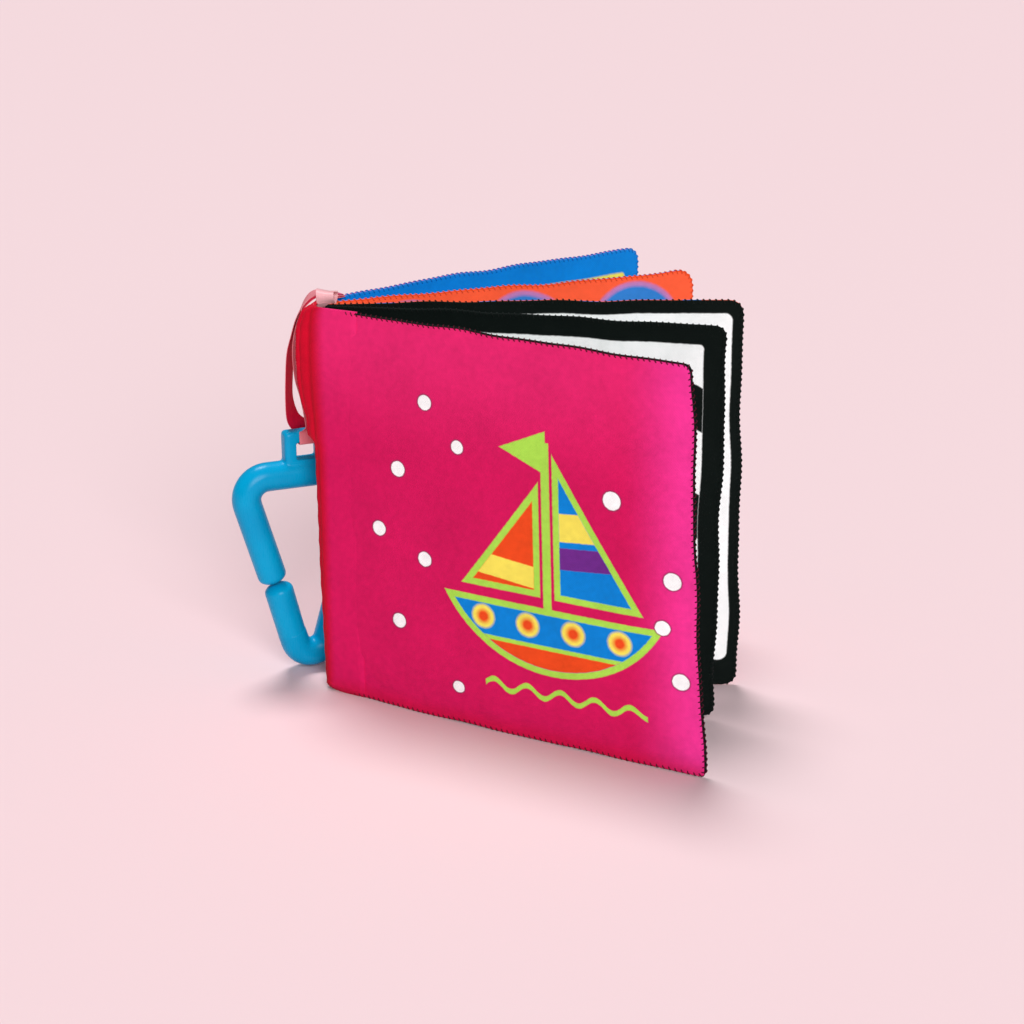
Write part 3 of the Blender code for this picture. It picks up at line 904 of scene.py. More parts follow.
def zigzag_art(tree, place, ground):
    colour, panel = framed(tree, place, ground, white, 8, 6.8, 8, 6.2, 1.5)
    bands = use_group(tree, zigzag, {
        "Place": place, "Period": 34.6, "Start": 107.6, "Run": 20.0, "Rise": 10.5,
        "Half band": 7.2, "Run start": 112.0})["Distance"]
    return lay(tree, colour, black, sum_of(tree, "MAXIMUM", bands, panel))


def rings_art(tree, place, ground):
    colour, panel = framed(tree, place, ground, white, 4, 3.4, 9.2, 4.2, 2.5)
    for radius, tint in ((44, black), (34, white), (24, black), (14, white), (6, black)):
        colour = lay(tree, colour, tint, disc_at(tree, place, 60, 66, radius))
    return colour


def checks_art(tree, place, ground):
    colour, panel = framed(tree, place, ground, white, 8, 8, 8, 8)
    checks = add_node(tree, "TexChecker", {"Vector": place, "Scale": 1 / 19.0})
    black_square = sum_of(tree, "SUBTRACT", 0.5, checks.outputs["Fac"])
    return lay(tree, colour, black, sum_of(tree, "MAXIMUM", black_square, panel))


def dots_art(tree, place, ground):
    colour, panel = framed(tree, place, ground, white, 8, 8, 8, 8)
    dots = use_group(tree, disc_grid, {
        "Place": place, "First": (22, 22, 0), "Spacing": (21, 21.5, 1), "Radius": 7.0,
    })["Distance"]
    return lay(tree, colour, black, sum_of(tree, "MAXIMUM", dots, panel))


def big_dots(first, spacing, radius, fill, rim_colour, rim_width):
    """Artwork of large discs with a rim, on the ground's colour."""
    def artwork(tree, place, ground):
        dots = use_group(tree, disc_grid, {
            "Place": place, "First": first, "Spacing": spacing, "Radius": radius,
        })["Distance"]
        colour = lay(tree, ground, rim_colour, dots, 0.5)
        return lay(tree, colour, fill, sum_of(tree, "ADD", dots, rim_width), 0.6)
    return artwork


orange_dots = big_dots((25.9, 110.7, 0), (39.9, 42, 1), 17.5, deep_blue, lilac, 1.6)
yellow_dots = big_dots((30, 24, 0), (34, 41, 1), 10.5, yellow, lime, 1.5)


def blue_waves(tree, place, ground):
    """A blue page with a broad yellow field and blue zigzag waves across it."""
    sides = add_node(tree, "SeparateXYZ", {0: place}).outputs
    field = use_group(tree, rounded_panel, {
        "Place": place, "Centre": (57.5, 65.0, 0), "Half size": (64.0, 57.0, 0),
        "Corner": 1.5})["Distance"]
    colour = lay(tree, ground, yellow, field, 0.4)
    waves = use_group(tree, zigzag, {
        "Place": place, "Period": 24.0, "Start": 106.0, "Run": 12.0, "Rise": 8.0,
        "Half band": 6.5})["Distance"]
    colour = lay(tree, colour, ground, sum_of(tree, "MAXIMUM", waves, sum_of(
        tree, "ADD", field, 3.0)), 0.4)
    return lining_edge(tree, place, colour, deep_blue, 0.5, 0.4, 4.5)


def orange_page(tree, place, ground):
    dotted = orange_dots(tree, place, ground)
    return lining_edge(tree, place, dotted, red_orange, 0.5, 0.4, 6.5)


def blue_triangles(tree, place, ground):
    bands = use_group(tree, zigzag, {
        "Place": place, "Period": 32.0, "Start": 20.0, "Run": 16.0, "Rise": 16.0,
        "Half band": 5.0})["Distance"]
    return lay(tree, ground, deep_blue, bands)


def back_cover_art(tree, place, ground):
    # Painted light and shade first, then the dots.
    colour = painted_light_and_shade(tree, place, ground)
    for first, radius in (((20, 16, 0), 2.5), ((39, 31, 0), 2.1)):
        dots = use_group(tree, disc_grid, {
            "Place": place, "First": first, "Spacing": (37, 31, 1), "Radius": radius,
        })["Distance"]
        colour = lay(tree, colour, white, dots)
    return colour


panel_cloth = {
    "front_cover": (
        printed_cloth("cover_print", pink, front_cover_art, cloudiness=0.16),
        printed_cloth("checked_print", black, checks_art),
    ),
    "page_1": (
        printed_cloth("zigzag_print", black, zigzag_art),
        printed_cloth("dotted_print", black, dots_art),
    ),
    "page_2": (
        printed_cloth("ringed_print", black, rings_art),
        printed_cloth("orange_zigzag_print", orange, blue_triangles),
    ),
    "page_3": (
        printed_cloth("orange_dots_print", orange, orange_page),
        printed_cloth("yellow_dots_print", blue, yellow_dots),
    ),
    "back_cover": (
        printed_cloth("blue_field_print", blue, blue_waves),
        printed_cloth("back_cover_print", pink, back_cover_art),
    ),
}

# %% [markdown]
# ## Building the leaves
#
# Each leaf becomes two pieces, its front and its back panel with the filling
# behind it. They meet along the leaf's middle, where the seam is. Both are
# closed by a second grid that follows the bent middle of the leaf. One large
# flat face would be simpler, but it would cut through the bent cloth, and a
# subdivision surface takes very long over a face with so many sides.

# %% Leaf pieces
def mesh_piece(name, points, faces, materials, flat_places=None):
    """A new mesh object in world coordinates, with a print UV map if given."""
    mesh = bpy.data.meshes.new(name)
    mesh.from_pydata(np.asarray(points).tolist(), [], faces)
    for finish in materials:
        mesh.materials.append(finish)
    if flat_places is not None:
        layer = mesh.uv_layers.new(name="print")
        corners = np.zeros(len(mesh.loops), int)
        mesh.loops.foreach_get("vertex_index", corners)
        values = np.asarray(flat_places)[corners] / (millimetres_per_unit * mm)
        layer.data.foreach_set("uv", values.astype(np.float32).ravel())
    mesh.shade_smooth()
    made = bpy.data.objects.new(name, mesh)
    bpy.context.scene.collection.objects.link(made)
    return made


def rounded(piece):
    """Applies one subdivision to a piece and returns its mesh."""
    rounding = piece.modifiers.new("rounding", "SUBSURF")
    rounding.levels = 1
    evaluated = piece.evaluated_get(bpy.context.evaluated_depsgraph_get())
    mesh = bpy.data.meshes.new_from_object(evaluated)
    old = piece.data
    piece.modifiers.clear()
    piece.data = mesh
    mesh.name = piece.name
    bpy.data.meshes.remove(old)
    return piece


def leaf_half(leaf, name, skin, is_front, finish):
    """One panel of a leaf with its half of the filling, closed along the middle."""
    across, up = leaf_grids[leaf]
    middle = np.stack([across, np.zeros_like(up), up], -1).reshape(-1, 3)
    flat_grid = np.stack([across.ravel() - hinge_margin, up.ravel()], 1)
    points = settle(leaf, np.concatenate([skin, middle]))
    behind = columns * rows
    faces = grid_faces(flipped=not is_front) + grid_faces(behind, flipped=is_front)
    for start, end in zip(rim, rim[1:] + rim[:1]):
        wall = (int(start), int(start) + behind, int(end) + behind, int(end))
        faces.append(wall if is_front else wall[::-1])
    piece = mesh_piece(
        name, to_world(leaf_matrix(leaf), points), faces, [finish],
        np.concatenate([flat_grid, flat_grid]),
    )
    return rounded(piece)


panel_names = {
    "front_cover": (("outer", "pink_cloth"), ("inner", "black_cloth")),
    "page_1": (("front", "black_cloth"), ("back", "black_cloth")),
    "page_2": (("front", "black_cloth"), ("back", "orange_cloth")),
    "page_3": (("front", "orange_cloth"), ("back", "blue_cloth")),
    "back_cover": (("inner", "blue_cloth"), ("outer", "pink_cloth")),
}
for seed, leaf in enumerate(leaf_order):
    pad = cap_swelling(simulate_pad(leaf, seed + 7))
    skins = (pad[:columns * rows], pad[columns * rows:])
    for index, (side, slot) in enumerate(panel_names[leaf]):
        node = f"{leaf}_{side}_panel"
        piece = leaf_half(
            leaf, f"{leaf}_{side}_cloth", skins[index], index == 0, panel_cloth[leaf][index]
        )
        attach(piece, leaf)
        if index == 0:
            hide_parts(node, f"{leaf}_crinkle_film")
        else:
            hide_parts(node, f"{leaf}_wadding")
    print(leaf, "half thickness in mm:", round(float(np.abs(pad[:, 1]).max()) / mm, 2))

# %% [markdown]
# ## Overcast edges
#
# Thread wraps round the open edges of every leaf in slanted stitches. It could
# be painted as stripes, but on the outline of the book the little ridges show,
# so it is real geometry: a coil whose loops are flattened to hug the edge.
# The coil is one tube swept along a path that goes round the path of the rim.

# %% Thread material
thread_twist = 2.4


def thread_material(name, colour):
    """Twisted sewing thread: fine slanted ridges and a slight gloss."""
    made = bpy.data.materials.new(name)
    made.use_nodes = True
    tree = made.node_tree
    place = use_group(tree, print_place, {"Wobble": 0.0})["Place"]
    sides = add_node(tree, "SeparateXYZ", {0: place}).outputs
    ridge = sum_of(tree, "SINE", sum_of(tree, "MULTIPLY", sum_of(
        tree, "ADD", sides["X"], sides["Y"]), math.pi * thread_twist))
    tone = sum_of(tree, "MULTIPLY_ADD", ridge, 0.18, 0.82)
    shade = add_node(tree, "CombineColor", {"Red": tone, "Green": tone, "Blue": tone})
    toned = add_node(
        tree, "MixRGB", {"Fac": 1.0, "Color1": colour, "Color2": shade.outputs[0]},
        blend_type="MULTIPLY",
    )
    shader = tree.nodes["Principled BSDF"]
    tree.links.new(toned.outputs[0], shader.inputs["Base Color"])
    shader.inputs["Roughness"].default_value = 0.6
    shader.inputs["Specular IOR Level"].default_value = 0.15
    bump = add_node(tree, "Bump", {"Height": ridge, "Strength": 0.4, "Distance": 0.04 * mm})
    tree.links.new(bump.outputs[0], shader.inputs["Normal"])
    return made


def sweep(name, centres, radius, sides, finish):
    """A tube along centres. Its print map runs along and round it, in metres."""
    centres = np.asarray(centres, float)
    ahead = np.roll(centres, -1, 0) - np.roll(centres, 1, 0)
    ahead[0] = centres[1] - centres[0]
    ahead[-1] = centres[-1] - centres[-2]
    ahead /= np.linalg.norm(ahead, axis=1)[:, None]
    side = np.cross(ahead[0], (0.31, 0.17, 0.94))
    side /= np.linalg.norm(side)
    frames = []
    for direction in ahead:
        side = side - direction * (side @ direction)
        side /= np.linalg.norm(side)
        frames.append((side, np.cross(direction, side)))
    radii = radius if np.ndim(radius) else np.full(len(centres), radius)
    angles = np.arange(sides) * 2 * math.pi / sides
    rings = [
        centre + size * (np.outer(np.cos(angles), a) + np.outer(np.sin(angles), b))
        for centre, size, (a, b) in zip(centres, radii, frames)
    ]
    points = np.concatenate(rings)
    count = len(centres)
    faces = []
    for ring in range(count - 1):
        after = ring + 1
        for index in range(sides):
            step = (index + 1) % sides
            faces.append((
                ring * sides + index, ring * sides + step,
                after * sides + step, after * sides + index,
            ))
    faces.append(tuple(range(sides))[::-1])
    faces.append(tuple(range((count - 1) * sides, count * sides)))
    lengths = np.concatenate([[0], np.cumsum(np.linalg.norm(np.diff(centres, axis=0), axis=1))])
    flat_places = np.stack([
        np.repeat(lengths, sides), np.tile(angles, count) * np.mean(radii)
    ], 1)
    return mesh_piece(name, points, faces, [finish], flat_places)


# %% Overcast stitches
stitch_pitch = 1.9 * mm
stitch_depth = 1.25 * mm
stitch_over = 0.14 * mm
stitch_half = 0.62 * mm
steps_per_stitch = 10
black_thread = thread_material("black_thread", (0.003, 0.006, 0.005, 1))
seam_threads = {
    "front_cover": thread_material("plum_thread", (0.10, 0.003, 0.018, 1)),
    "page_1": black_thread,
    "page_2": black_thread,
    "page_3": thread_material("orange_thread", (0.88, 0.11, 0.035, 1)),
    "back_cover": thread_material("blue_thread", (0.004, 0.21, 0.64, 1)),
}


def rim_path(leaf):
    """The free edge of a flat leaf: along its foot, up its outer edge and back."""
    across, up = leaf_grids[leaf]
    first = 2
    lower = [(across[i, 0], up[i, 0]) for i in range(first, columns)]
    outer = [(across[-1, j], up[-1, j]) for j in range(1, rows)]
    upper = [(across[i, -1], up[i, -1]) for i in range(columns - 2, first - 1, -1)]
    return np.array(lower + outer + upper)


def overcast(leaf):
    """The coil of thread round a leaf's free edge."""
    path = rim_path(leaf)
    run = np.concatenate([[0], np.cumsum(np.linalg.norm(np.diff(path, axis=0), axis=1))])
    count = int(run[-1] / stitch_pitch)
    share = np.linspace(0, run[-1], count * steps_per_stitch + 1)
    across = np.interp(share, run, path[:, 0])
    up = np.interp(share, run, path[:, 1])
    ahead = np.stack([np.gradient(across), np.gradient(up)], 1)
    ahead /= np.linalg.norm(ahead, axis=1)[:, None]
    outwards = np.stack([ahead[:, 1], -ahead[:, 0]], 1)
    angle = np.arange(len(share)) * 2 * math.pi / steps_per_stitch
    reach = stitch_over - stitch_depth / 2 * (1 - np.cos(angle))
    height = np.sin(angle)
    height = stitch_half * np.sign(height) * np.abs(height) ** 0.5
    points = np.stack([
        across + outwards[:, 0] * reach, height, up + outwards[:, 1] * reach
    ], 1)
    points[:, 2] = np.clip(points[:, 2], 0.25 * mm, None)
    centres = to_world(leaf_matrix(leaf), settle(leaf, points))
    return sweep(f"{leaf}_overcast_thread", centres, 0.18 * mm, 6, seam_threads[leaf])


for leaf in leaf_order:
    thread = overcast(leaf)
    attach(thread, leaf)
    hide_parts(f"{leaf}_seam_thread")

# %% [markdown]
# ## The spine
#
# The leaves are sewn into one strip of cloth that wraps round from the front
# cover to the back cover. It has the covers' pink, with crimson painted as
# shade where it turns round the spine and along its foot. The ribbon's weight
# pulls its upper half out to the left. When the book opens, the strip has to
# bend at every leaf, and a bend can only cross one joint. So it is made as four
# neighbours that share their edges, each built between two leaves where they
# stand now.

# %% Spine strips
# The covers' pink with their painted light and shade, which paints the strip crimson as shade
# round the spine and along its foot.
spine_red = printed_cloth("spine_cloth", pink, painted_light_and_shade, wobble=0.0, cloudiness=0.16)
strip_thickness = 0.7 * mm
strip_rows = 66
strip_steps = 6
spine_rise = 0.9 * mm
foot_rise = 1.6 * mm
# How far each leaf's line on the spine is pulled out, in mm, where the pull is
# greatest, and the share of the pull at each height of the spine in mm
pull = {"front_cover": 4.0, "page_1": 7.8, "page_2": 8.7, "page_3": 6.6, "back_cover": 3.5}
pull_heights = (0, 20, 40, 53, 70, 84.6, 87, 93, 100, 106, 115, 123, 128, 129.4, 130)
pull_shares = (0.17, 0.25, 0.33, 0.34, 0.36, 0.38, 0.64, 0.68, 0.90, 0.98, 1, 0.94, 0.7, 0.45, 0.2)


def pulled_out(up):
    """How much of the pull reaches each height of the spine, from 0 to 1."""
    return np.interp(up / mm, pull_heights, pull_shares)


def strip_line(leaf, up, along, out, pull_share):
    """An upright line of the strip, placed in a leaf's frame."""
    x = along - pull_share * pull[leaf] * mm * pulled_out(up)
    raised = up + spine_rise * (up / page_height) ** 3
    raised += foot_rise * pull_share * np.clip(1 - up / (8 * mm), 0, 1) ** 2
    foot_bulge = cover_bulge * mm * (1 - up / page_height) ** 4 * np.clip(
        (along - hinge_margin) * 4 / page_width, 0, 1)
    y = np.broadcast_to(out, up.shape) - foot_bulge * (leaf == "front_cover")
    return to_world(leaf_matrix(leaf), np.stack([x, y, raised], 1))


def spine_line(leaf, up):
    """The line of the strip's outer face that stays with one leaf."""
    return strip_line(leaf, up, -0.35 * mm, 0, 1)


# From a cover's face round to the spine: mm along the page, mm out from it
# and the share of the pull
wrap_stations = (
    (14.0, 0.30, 0), (11.5, 0.43, 0), (9.2, 0.53, 0), (7.2, 0.60, 0.01), (5.6, 0.62, 0.04),
    (4.2, 0.62, 0.11), (2.7, 0.61, 0.25), (1.2, 0.58, 0.48), (0.2, 0.46, 0.74),
    (-0.25, 0.28, 0.92),
)
swollen_height = 36 * mm
swollen_spread = 34 * mm
seam_slope = 4.5 * mm
end_drop = 0.55 * mm


def cover_wrap(leaf, side, up):
    """Lines of the strip from a cover's outer face round to the spine."""
    swollen = 1 + 0.45 * np.exp(-((up - swollen_height) / swollen_spread) ** 2)
    ends = np.exp(-up / seam_slope) + np.exp((up - page_height) / seam_slope)
    lines = []
    for along, out, share in wrap_stations:
        settled_out = out * mm * swollen - end_drop * ends * min(max(along, 0) / 9, 1)
        lines.append(strip_line(leaf, up, along * mm, side * settled_out, share))
    return lines + [spine_line(leaf, up)]


def spine_strip(before, after):
    """The strip between two neighbouring leaves, as a closed piece of cloth."""
    up = np.concatenate([np.linspace(0, 127.5, strip_rows - 5), (128.2, 128.8, 129.3, 129.7, 130)])
    up[:strip_rows - 5] *= mm
    up[strip_rows - 5:] *= mm
    first = spine_line(before, up)
    last = spine_line(after, up)
    bulge_out = np.array([-1.0, 0.0, 0.0])
    outer = []
    for step in range(strip_steps + 1):
        share = step / strip_steps
        swell = math.sin(math.pi * share)
        rounding = (0.45 + 0.5 * pulled_out(up)) * mm * swell
        wrinkle = 0.12 * mm * np.sin(up / mm * 0.83 + step) * swell
        line = first * (1 - share) + last * share
        outer.append(line + np.outer(rounding + wrinkle, bulge_out))
    if before == leaf_order[0]:
        outer = cover_wrap(before, -1, up)[:-1] + outer
    if after == leaf_order[-1]:
        outer = outer + cover_wrap(after, 1, up)[::-1][1:]
    outer = np.array(outer)
    normal = np.cross(np.gradient(outer, axis=0), np.array([0, 0, 1.0]))
    normal /= np.linalg.norm(normal, axis=2)[:, :, None]
    inner = outer - normal * strip_thickness
    lines = len(outer)
    points = np.concatenate([outer.reshape(-1, 3), inner.reshape(-1, 3)])
    index = np.arange(lines * strip_rows).reshape(lines, strip_rows)
    far = lines * strip_rows
    faces = []
    for i in range(lines - 1):
        for j in range(strip_rows - 1):
            a, b, c, d = index[i, j], index[i + 1, j], index[i + 1, j + 1], index[i, j + 1]
            faces.append((a, d, c, b))
            faces.append((a + far, b + far, c + far, d + far))
    loop = list(index[:, 0]) + list(index[-1, 1:]) + list(index[-2::-1, -1])
    loop += list(index[0, -2:0:-1])
    for a, b in zip(loop, loop[1:] + loop[:1]):
        faces.append((a, b, b + far, a + far))
    faces = [tuple(int(v) for v in face) for face in faces]
    run = np.concatenate([[0], np.cumsum(np.linalg.norm(
        np.diff(outer[:, strip_rows // 2], axis=0), axis=1))])
    if after == leaf_order[-1]:
        run = run[-1] - run
    wraps_cover = before == leaf_order[0] or after == leaf_order[-1]
    wrap_start = wrap_stations[0][0] * mm if wraps_cover else -5 * mm
    along = wrap_start - hinge_margin - run
    flat = np.stack([np.repeat(along, strip_rows), np.tile(up, lines)], 1)
    piece = mesh_piece(
        f"spine_cloth_{before}_to_{after}", points, faces, [spine_red],
        np.concatenate([flat, flat]),
    )
    return piece, first, last


strip_joints = {
    ("front_cover", "page_1"): "front_cover_turn",
    ("page_1", "page_2"): "page_1_turn",
    ("page_2", "page_3"): "page_3_turn",
    ("page_3", "back_cover"): "back_cover_turn",
}
for (before, after), joint in strip_joints.items():
    strip, first, last = spine_strip(before, after)
    if joint == "page_1_turn":
        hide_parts("spine_wrap")
    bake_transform(strip)

# %% Binding stitches
binding_thread = thread_material("pink_thread", (0.70, 0.09, 0.20, 1))
binding_stitch = 3.4 * mm
binding_gap = 1.0 * mm


def binding_stitches():
    """Short stitches down the middle of the spine, joined into one piece."""
    points = []
    faces = []
    low = 5 * mm
    while low + binding_stitch < page_height - 4 * mm:
        up = np.linspace(low, low + binding_stitch, 9)
        share = np.linspace(0, 1, 9)
        line = spine_line("page_2", up)
        line[:, 0] -= 0.22 * mm * np.sin(math.pi * share) - 0.05 * mm
        stitch = sweep("stitch", line, 0.24 * mm, 6, binding_thread)
        start = len(points)
        points += [tuple(vertex.co) for vertex in stitch.data.vertices]
        faces += [tuple(start + v for v in face.vertices) for face in stitch.data.polygons]
        bpy.data.objects.remove(stitch)
        low += binding_stitch + binding_gap
    flat = [(point[2], point[1]) for point in points]
    return mesh_piece("binding_stitches", points, faces, [binding_thread], flat)


stitches = binding_stitches()
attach(stitches, "page_2")
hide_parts("binding_thread")

# %% [markdown]
# ## The ribbon
#
# A narrow satin ribbon is folded double and tacked to the top of the spine. It
# bows out to the left, then both strands run down and round the clip's bar.
# The ribbon is pale pink, and the fold shows that colour. Shade is painted
# on the strands: their face is a darker salmon and their back a deep rose, so
# the outer strand, which shows its back, looks much darker. Simulating so
# narrow a strip gains little. It is swept along its route, and a cross
# direction for each place makes it twist.

# %% Ribbon material
def satin(name, colour, roughness=0.34):
    """Satin: long fine ridges along the ribbon, and a soft gloss across them."""
    made = bpy.data.materials.new(name)
    made.use_nodes = True
    tree = made.node_tree
    place = use_group(tree, print_place, {"Wobble": 0.0})["Place"]
    stretched = vector_sum(tree, "MULTIPLY", place, (0.35, 9.0, 1.0))
    streak = add_node(tree, "TexNoise", {"Vector": stretched, "Scale": 1.0, "Detail": 3})
    tone = sum_of(tree, "MULTIPLY_ADD", streak.outputs["Fac"], 0.30, 0.85)
    shade = add_node(tree, "CombineColor", {"Red": tone, "Green": tone, "Blue": tone})
    toned = add_node(
        tree, "MixRGB", {"Fac": 1.0, "Color1": colour, "Color2": shade.outputs[0]},
        blend_type="MULTIPLY",
    )
    shader = tree.nodes["Principled BSDF"]
    tree.links.new(toned.outputs[0], shader.inputs["Base Color"])
    shader.inputs["Roughness"].default_value = roughness
    shader.inputs["Anisotropic"].default_value = 0.5
    shader.inputs["Specular IOR Level"].default_value = 0.12
    bump = add_node(
        tree, "Bump",
        {"Height": streak.outputs["Fac"], "Strength": 0.3, "Distance": 0.05 * mm},
    )
    tree.links.new(bump.outputs[0], shader.inputs["Normal"])
    return made


# The fold shows the ribbon's pale pink. The two strand finishes are painted shade: a darker salmon
# copy of the face, and a deep rose back.
ribbon_face = satin("satin_face", (0.86, 0.43, 0.46, 1))
ribbon_shaded_face = satin("satin_face_painted_shade", (0.78, 0.24, 0.28, 1), 0.5)
ribbon_shaded_back = satin("satin_back_painted_shade", (0.56, 0.005, 0.036, 1), 0.6)

# %% Ribbon route
# Stations down each strand, in mm in the frame of its sewn end: the middle of
# the strand as x, y and z, and the angle of the ribbon's width in degrees
ribbon_width = 5.6 * mm
ribbon_thickness = 0.3 * mm
cover_angle = 39
clip_angle = 24
clip_turn = clip_angle - cover_angle
bar_half_height = 1.9 * mm
bar_half_depth = 3.0 * mm
ribbon_gap = 0.3 * mm
bar_reach = bar_half_depth + ribbon_gap + ribbon_thickness / 2
ribbon_pivot = (
    Matrix.Translation(joint_place["ribbon_swing"])
    @ Matrix.Rotation(math.radians(cover_angle), 4, "Z")
)
bar_place = ribbon_pivot.inverted() @ joint_place["clip_swing"] / mm
bar_front = bar_place - bar_reach / mm * Vector((
    -math.sin(math.radians(clip_turn)), math.cos(math.radians(clip_turn)), 0))
bar_back = 2 * bar_place - bar_front
inner_stations = (
    (2.0, 0.0, 0.43, 80), (-1.7, 0.0, 0.55, 80), (-4.6, 1.3, 1.3, 76), (-6.9, 3.1, 0.4, 70),
    (-8.8, 4.9, -2.6, 58), (-10.0, 6.4, -7.0, 49), (-10.6, 7.8, -12.5, 45),
    (-10.6, 8.8, -18.4, 44), (-9.7, 9.5, -26.8, 46), (-8.1, 9.3, -33.4, 47),
    (-6.8, 9.2, -40.3, 46), (-6.2, 9.5, -44.0, 42),
    (bar_front.x, bar_front.y, bar_front.z + 1.9, clip_turn),
)
outer_stations = (
    (2.0, 0.1, 0.87, 80), (-1.6, 0.5, 1.0, 80), (-3.9, 2.6, 1.75, 76), (-6.1, 5.0, 0.6, 68),
    (-7.8, 7.2, -2.6, 56), (-8.8, 9.1, -7.2, 44), (-9.3, 10.8, -13.2, 34),
    (-9.8, 12.6, -19.2, 32), (-9.6, 14.3, -27.7, 33), (-9.0, 15.8, -36.4, 32),
    (-7.2, 16.7, -43.0, 12), (bar_back.x, bar_back.y, bar_back.z + 1.9, clip_turn),
)
ribbon_steps = 6


def curve_through(stations, steps):
    """A smooth row of values that passes through every station."""
    stations = np.array(stations, float)
    padded = np.concatenate([stations[:1], stations, stations[-1:]])
    rows_made = []
    for a, b, c, d in zip(padded, padded[1:], padded[2:], padded[3:]):
        for t in np.arange(steps) / steps:
            cubic = 2 * b + (c - a) * t + (2 * a - 5 * b + 4 * c - d) * t ** 2
            rows_made.append((cubic + (3 * b - a - 3 * c + d) * t ** 3) / 2)
    rows_made.append(stations[-1])
    return np.array(rows_made)


def strand(stations):
    """Centres and width directions of one strand, from its sewn end to the bar."""
    route = curve_through(stations, ribbon_steps)
    turn = np.radians(route[:, 3])
    across = np.stack([np.cos(turn), np.sin(turn), np.zeros_like(turn)], 1)
    return route[:, :3] * mm, across


def bar_turn():
    """The way round the clip's bar, from one strand to the other."""
    angle = math.radians(clip_turn)
    across = np.array([math.cos(angle), math.sin(angle), 0])
    out = np.array([-across[1], across[0], 0])
    radius = ribbon_gap + ribbon_thickness / 2
    centre = np.array(bar_place) * mm
    points = []
    for side, start in ((-1, 180), (1, 270)):
        for step in range(7):
            corner = math.radians(start + 15 * step)
            depth = side * bar_half_depth + radius * math.cos(corner)
            drop = -bar_half_height + radius * math.sin(corner)
            points.append(centre + depth * out + np.array([0, 0, drop]))
    return np.array(points), np.tile(across, (len(points), 1))


inner_centres, inner_across = strand(inner_stations)
turn_centres, turn_across = bar_turn()
outer_centres, outer_across = strand(outer_stations)
ribbon_centres = np.concatenate([inner_centres, turn_centres, outer_centres[::-1]])
ribbon_across = np.concatenate([inner_across, turn_across, outer_across[::-1]])
print("ribbon length in mm:", round(float(np.sum(np.linalg.norm(
    np.diff(ribbon_centres, axis=0), axis=1))) / mm, 1))


def ribbon_piece(name, matrix, centres, across, finishes):
    """A flat strap with a face and a back finish; both edges slightly rolled."""
    ahead = np.gradient(centres, axis=0)
    ahead /= np.linalg.norm(ahead, axis=1)[:, None]
    across = across - ahead * np.sum(across * ahead, 1)[:, None]
    across /= np.linalg.norm(across, axis=1)[:, None]
    normal = np.cross(ahead, across)
    run = np.concatenate([[0], np.cumsum(np.linalg.norm(np.diff(centres, axis=0), axis=1))])
    lines = np.array([-1, -0.92, -0.5, 0, 0.5, 0.92, 1]) * ribbon_width / 2
    half = np.array([0.35, 0.5, 0.5, 0.5, 0.5, 0.5, 0.35]) * ribbon_thickness
    count = len(lines)
    rings = []
    flats = []
    for centre, wide, up, length in zip(centres, across, normal, run):
        face = [centre + wide * x + up * h for x, h in zip(lines, half)]
        back = [centre + wide * x - up * h for x, h in zip(lines[::-1], half[::-1])]
        rings.append(face + back)
        flats.append([(length, x) for x in lines] + [(length, x) for x in lines[::-1]])
    points = np.array(rings).reshape(-1, 3)
    flats = np.array(flats).reshape(-1, 2)
    size = 2 * count
    faces = []
    slots = []
    for ring in range(len(centres) - 1):
        for index in range(size):
            step = (index + 1) % size
            faces.append((
                ring * size + index, (ring + 1) * size + index,
                (ring + 1) * size + step, ring * size + step,
            ))
            slots.append(0 if index < count - 1 or index in (count - 1, size - 1) else 1)
    faces.append(tuple(range(size)))
    faces.append(tuple(range((len(centres) - 1) * size, len(centres) * size))[::-1])
    slots += [0, 0]
    made = mesh_piece(
        name, to_world(matrix, points), faces, list(finishes), flats
    )
    made.data.polygons.foreach_set("material_index", slots)
    made.data.set_sharp_from_angle(angle=math.radians(60))
    return made


ribbon = ribbon_piece(
    "satin_ribbon", ribbon_pivot, ribbon_centres, ribbon_across, (ribbon_shaded_face, ribbon_shaded_back)
)
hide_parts("ribbon_loop")
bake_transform(ribbon)

# %% [markdown]
# ## The clip
#
# The clip is one injection moulding in glossy blue plastic: a round bar bent
# into a tall triangle, with a slot for the ribbon on top. Where the slot's
# posts meet the ring there are small fillets. Joining the ring and a block
# with a boolean leaves sharp creases, so the union is voxel remeshed and
# smoothed, which rounds every inner corner as a mould does.

# %% Clip shape
clip_matrix = (
    Matrix.Translation(joint_place["clip_swing"])
    @ Matrix.Rotation(math.radians(clip_angle), 4, "Z")
)
tube_radius = 4.9 * mm
ring_lean = math.radians(16.2)
gate_lean = math.radians(14.2)
ring_top = -13.1 * mm
ring_corner = 7.2 * mm
foot_radius = 6 * mm
foot_bend = -71.3 * mm
slot_size = (15.2 * mm, 6 * mm, 15.0 * mm)
window_size = (7.4 * mm, 9 * mm, 5.9 * mm)
gate_length = 17.4 * mm
arm_gap = 0.9 * mm


def arc(x, z, radius, start, end, steps):
    turn = np.radians(np.linspace(start, end, steps + 1))
    return [(x + radius * math.cos(t), 0, z + radius * math.sin(t)) for t in turn]


tip_bluntness = 0.55


def rounded_tip(tip, direction, radius):
    """Centres and radii that close a tube with a slightly blunt dome."""
    centres = []
    radii = []
    for angle in np.radians((3, 12, 24, 38, 54, 72, 90)):
        back = radius * tip_bluntness * (1 - math.cos(angle))
        centres.append(np.array(tip) - np.array(direction) * back)
        radii.append(radius * math.sin(angle))
    return centres, radii


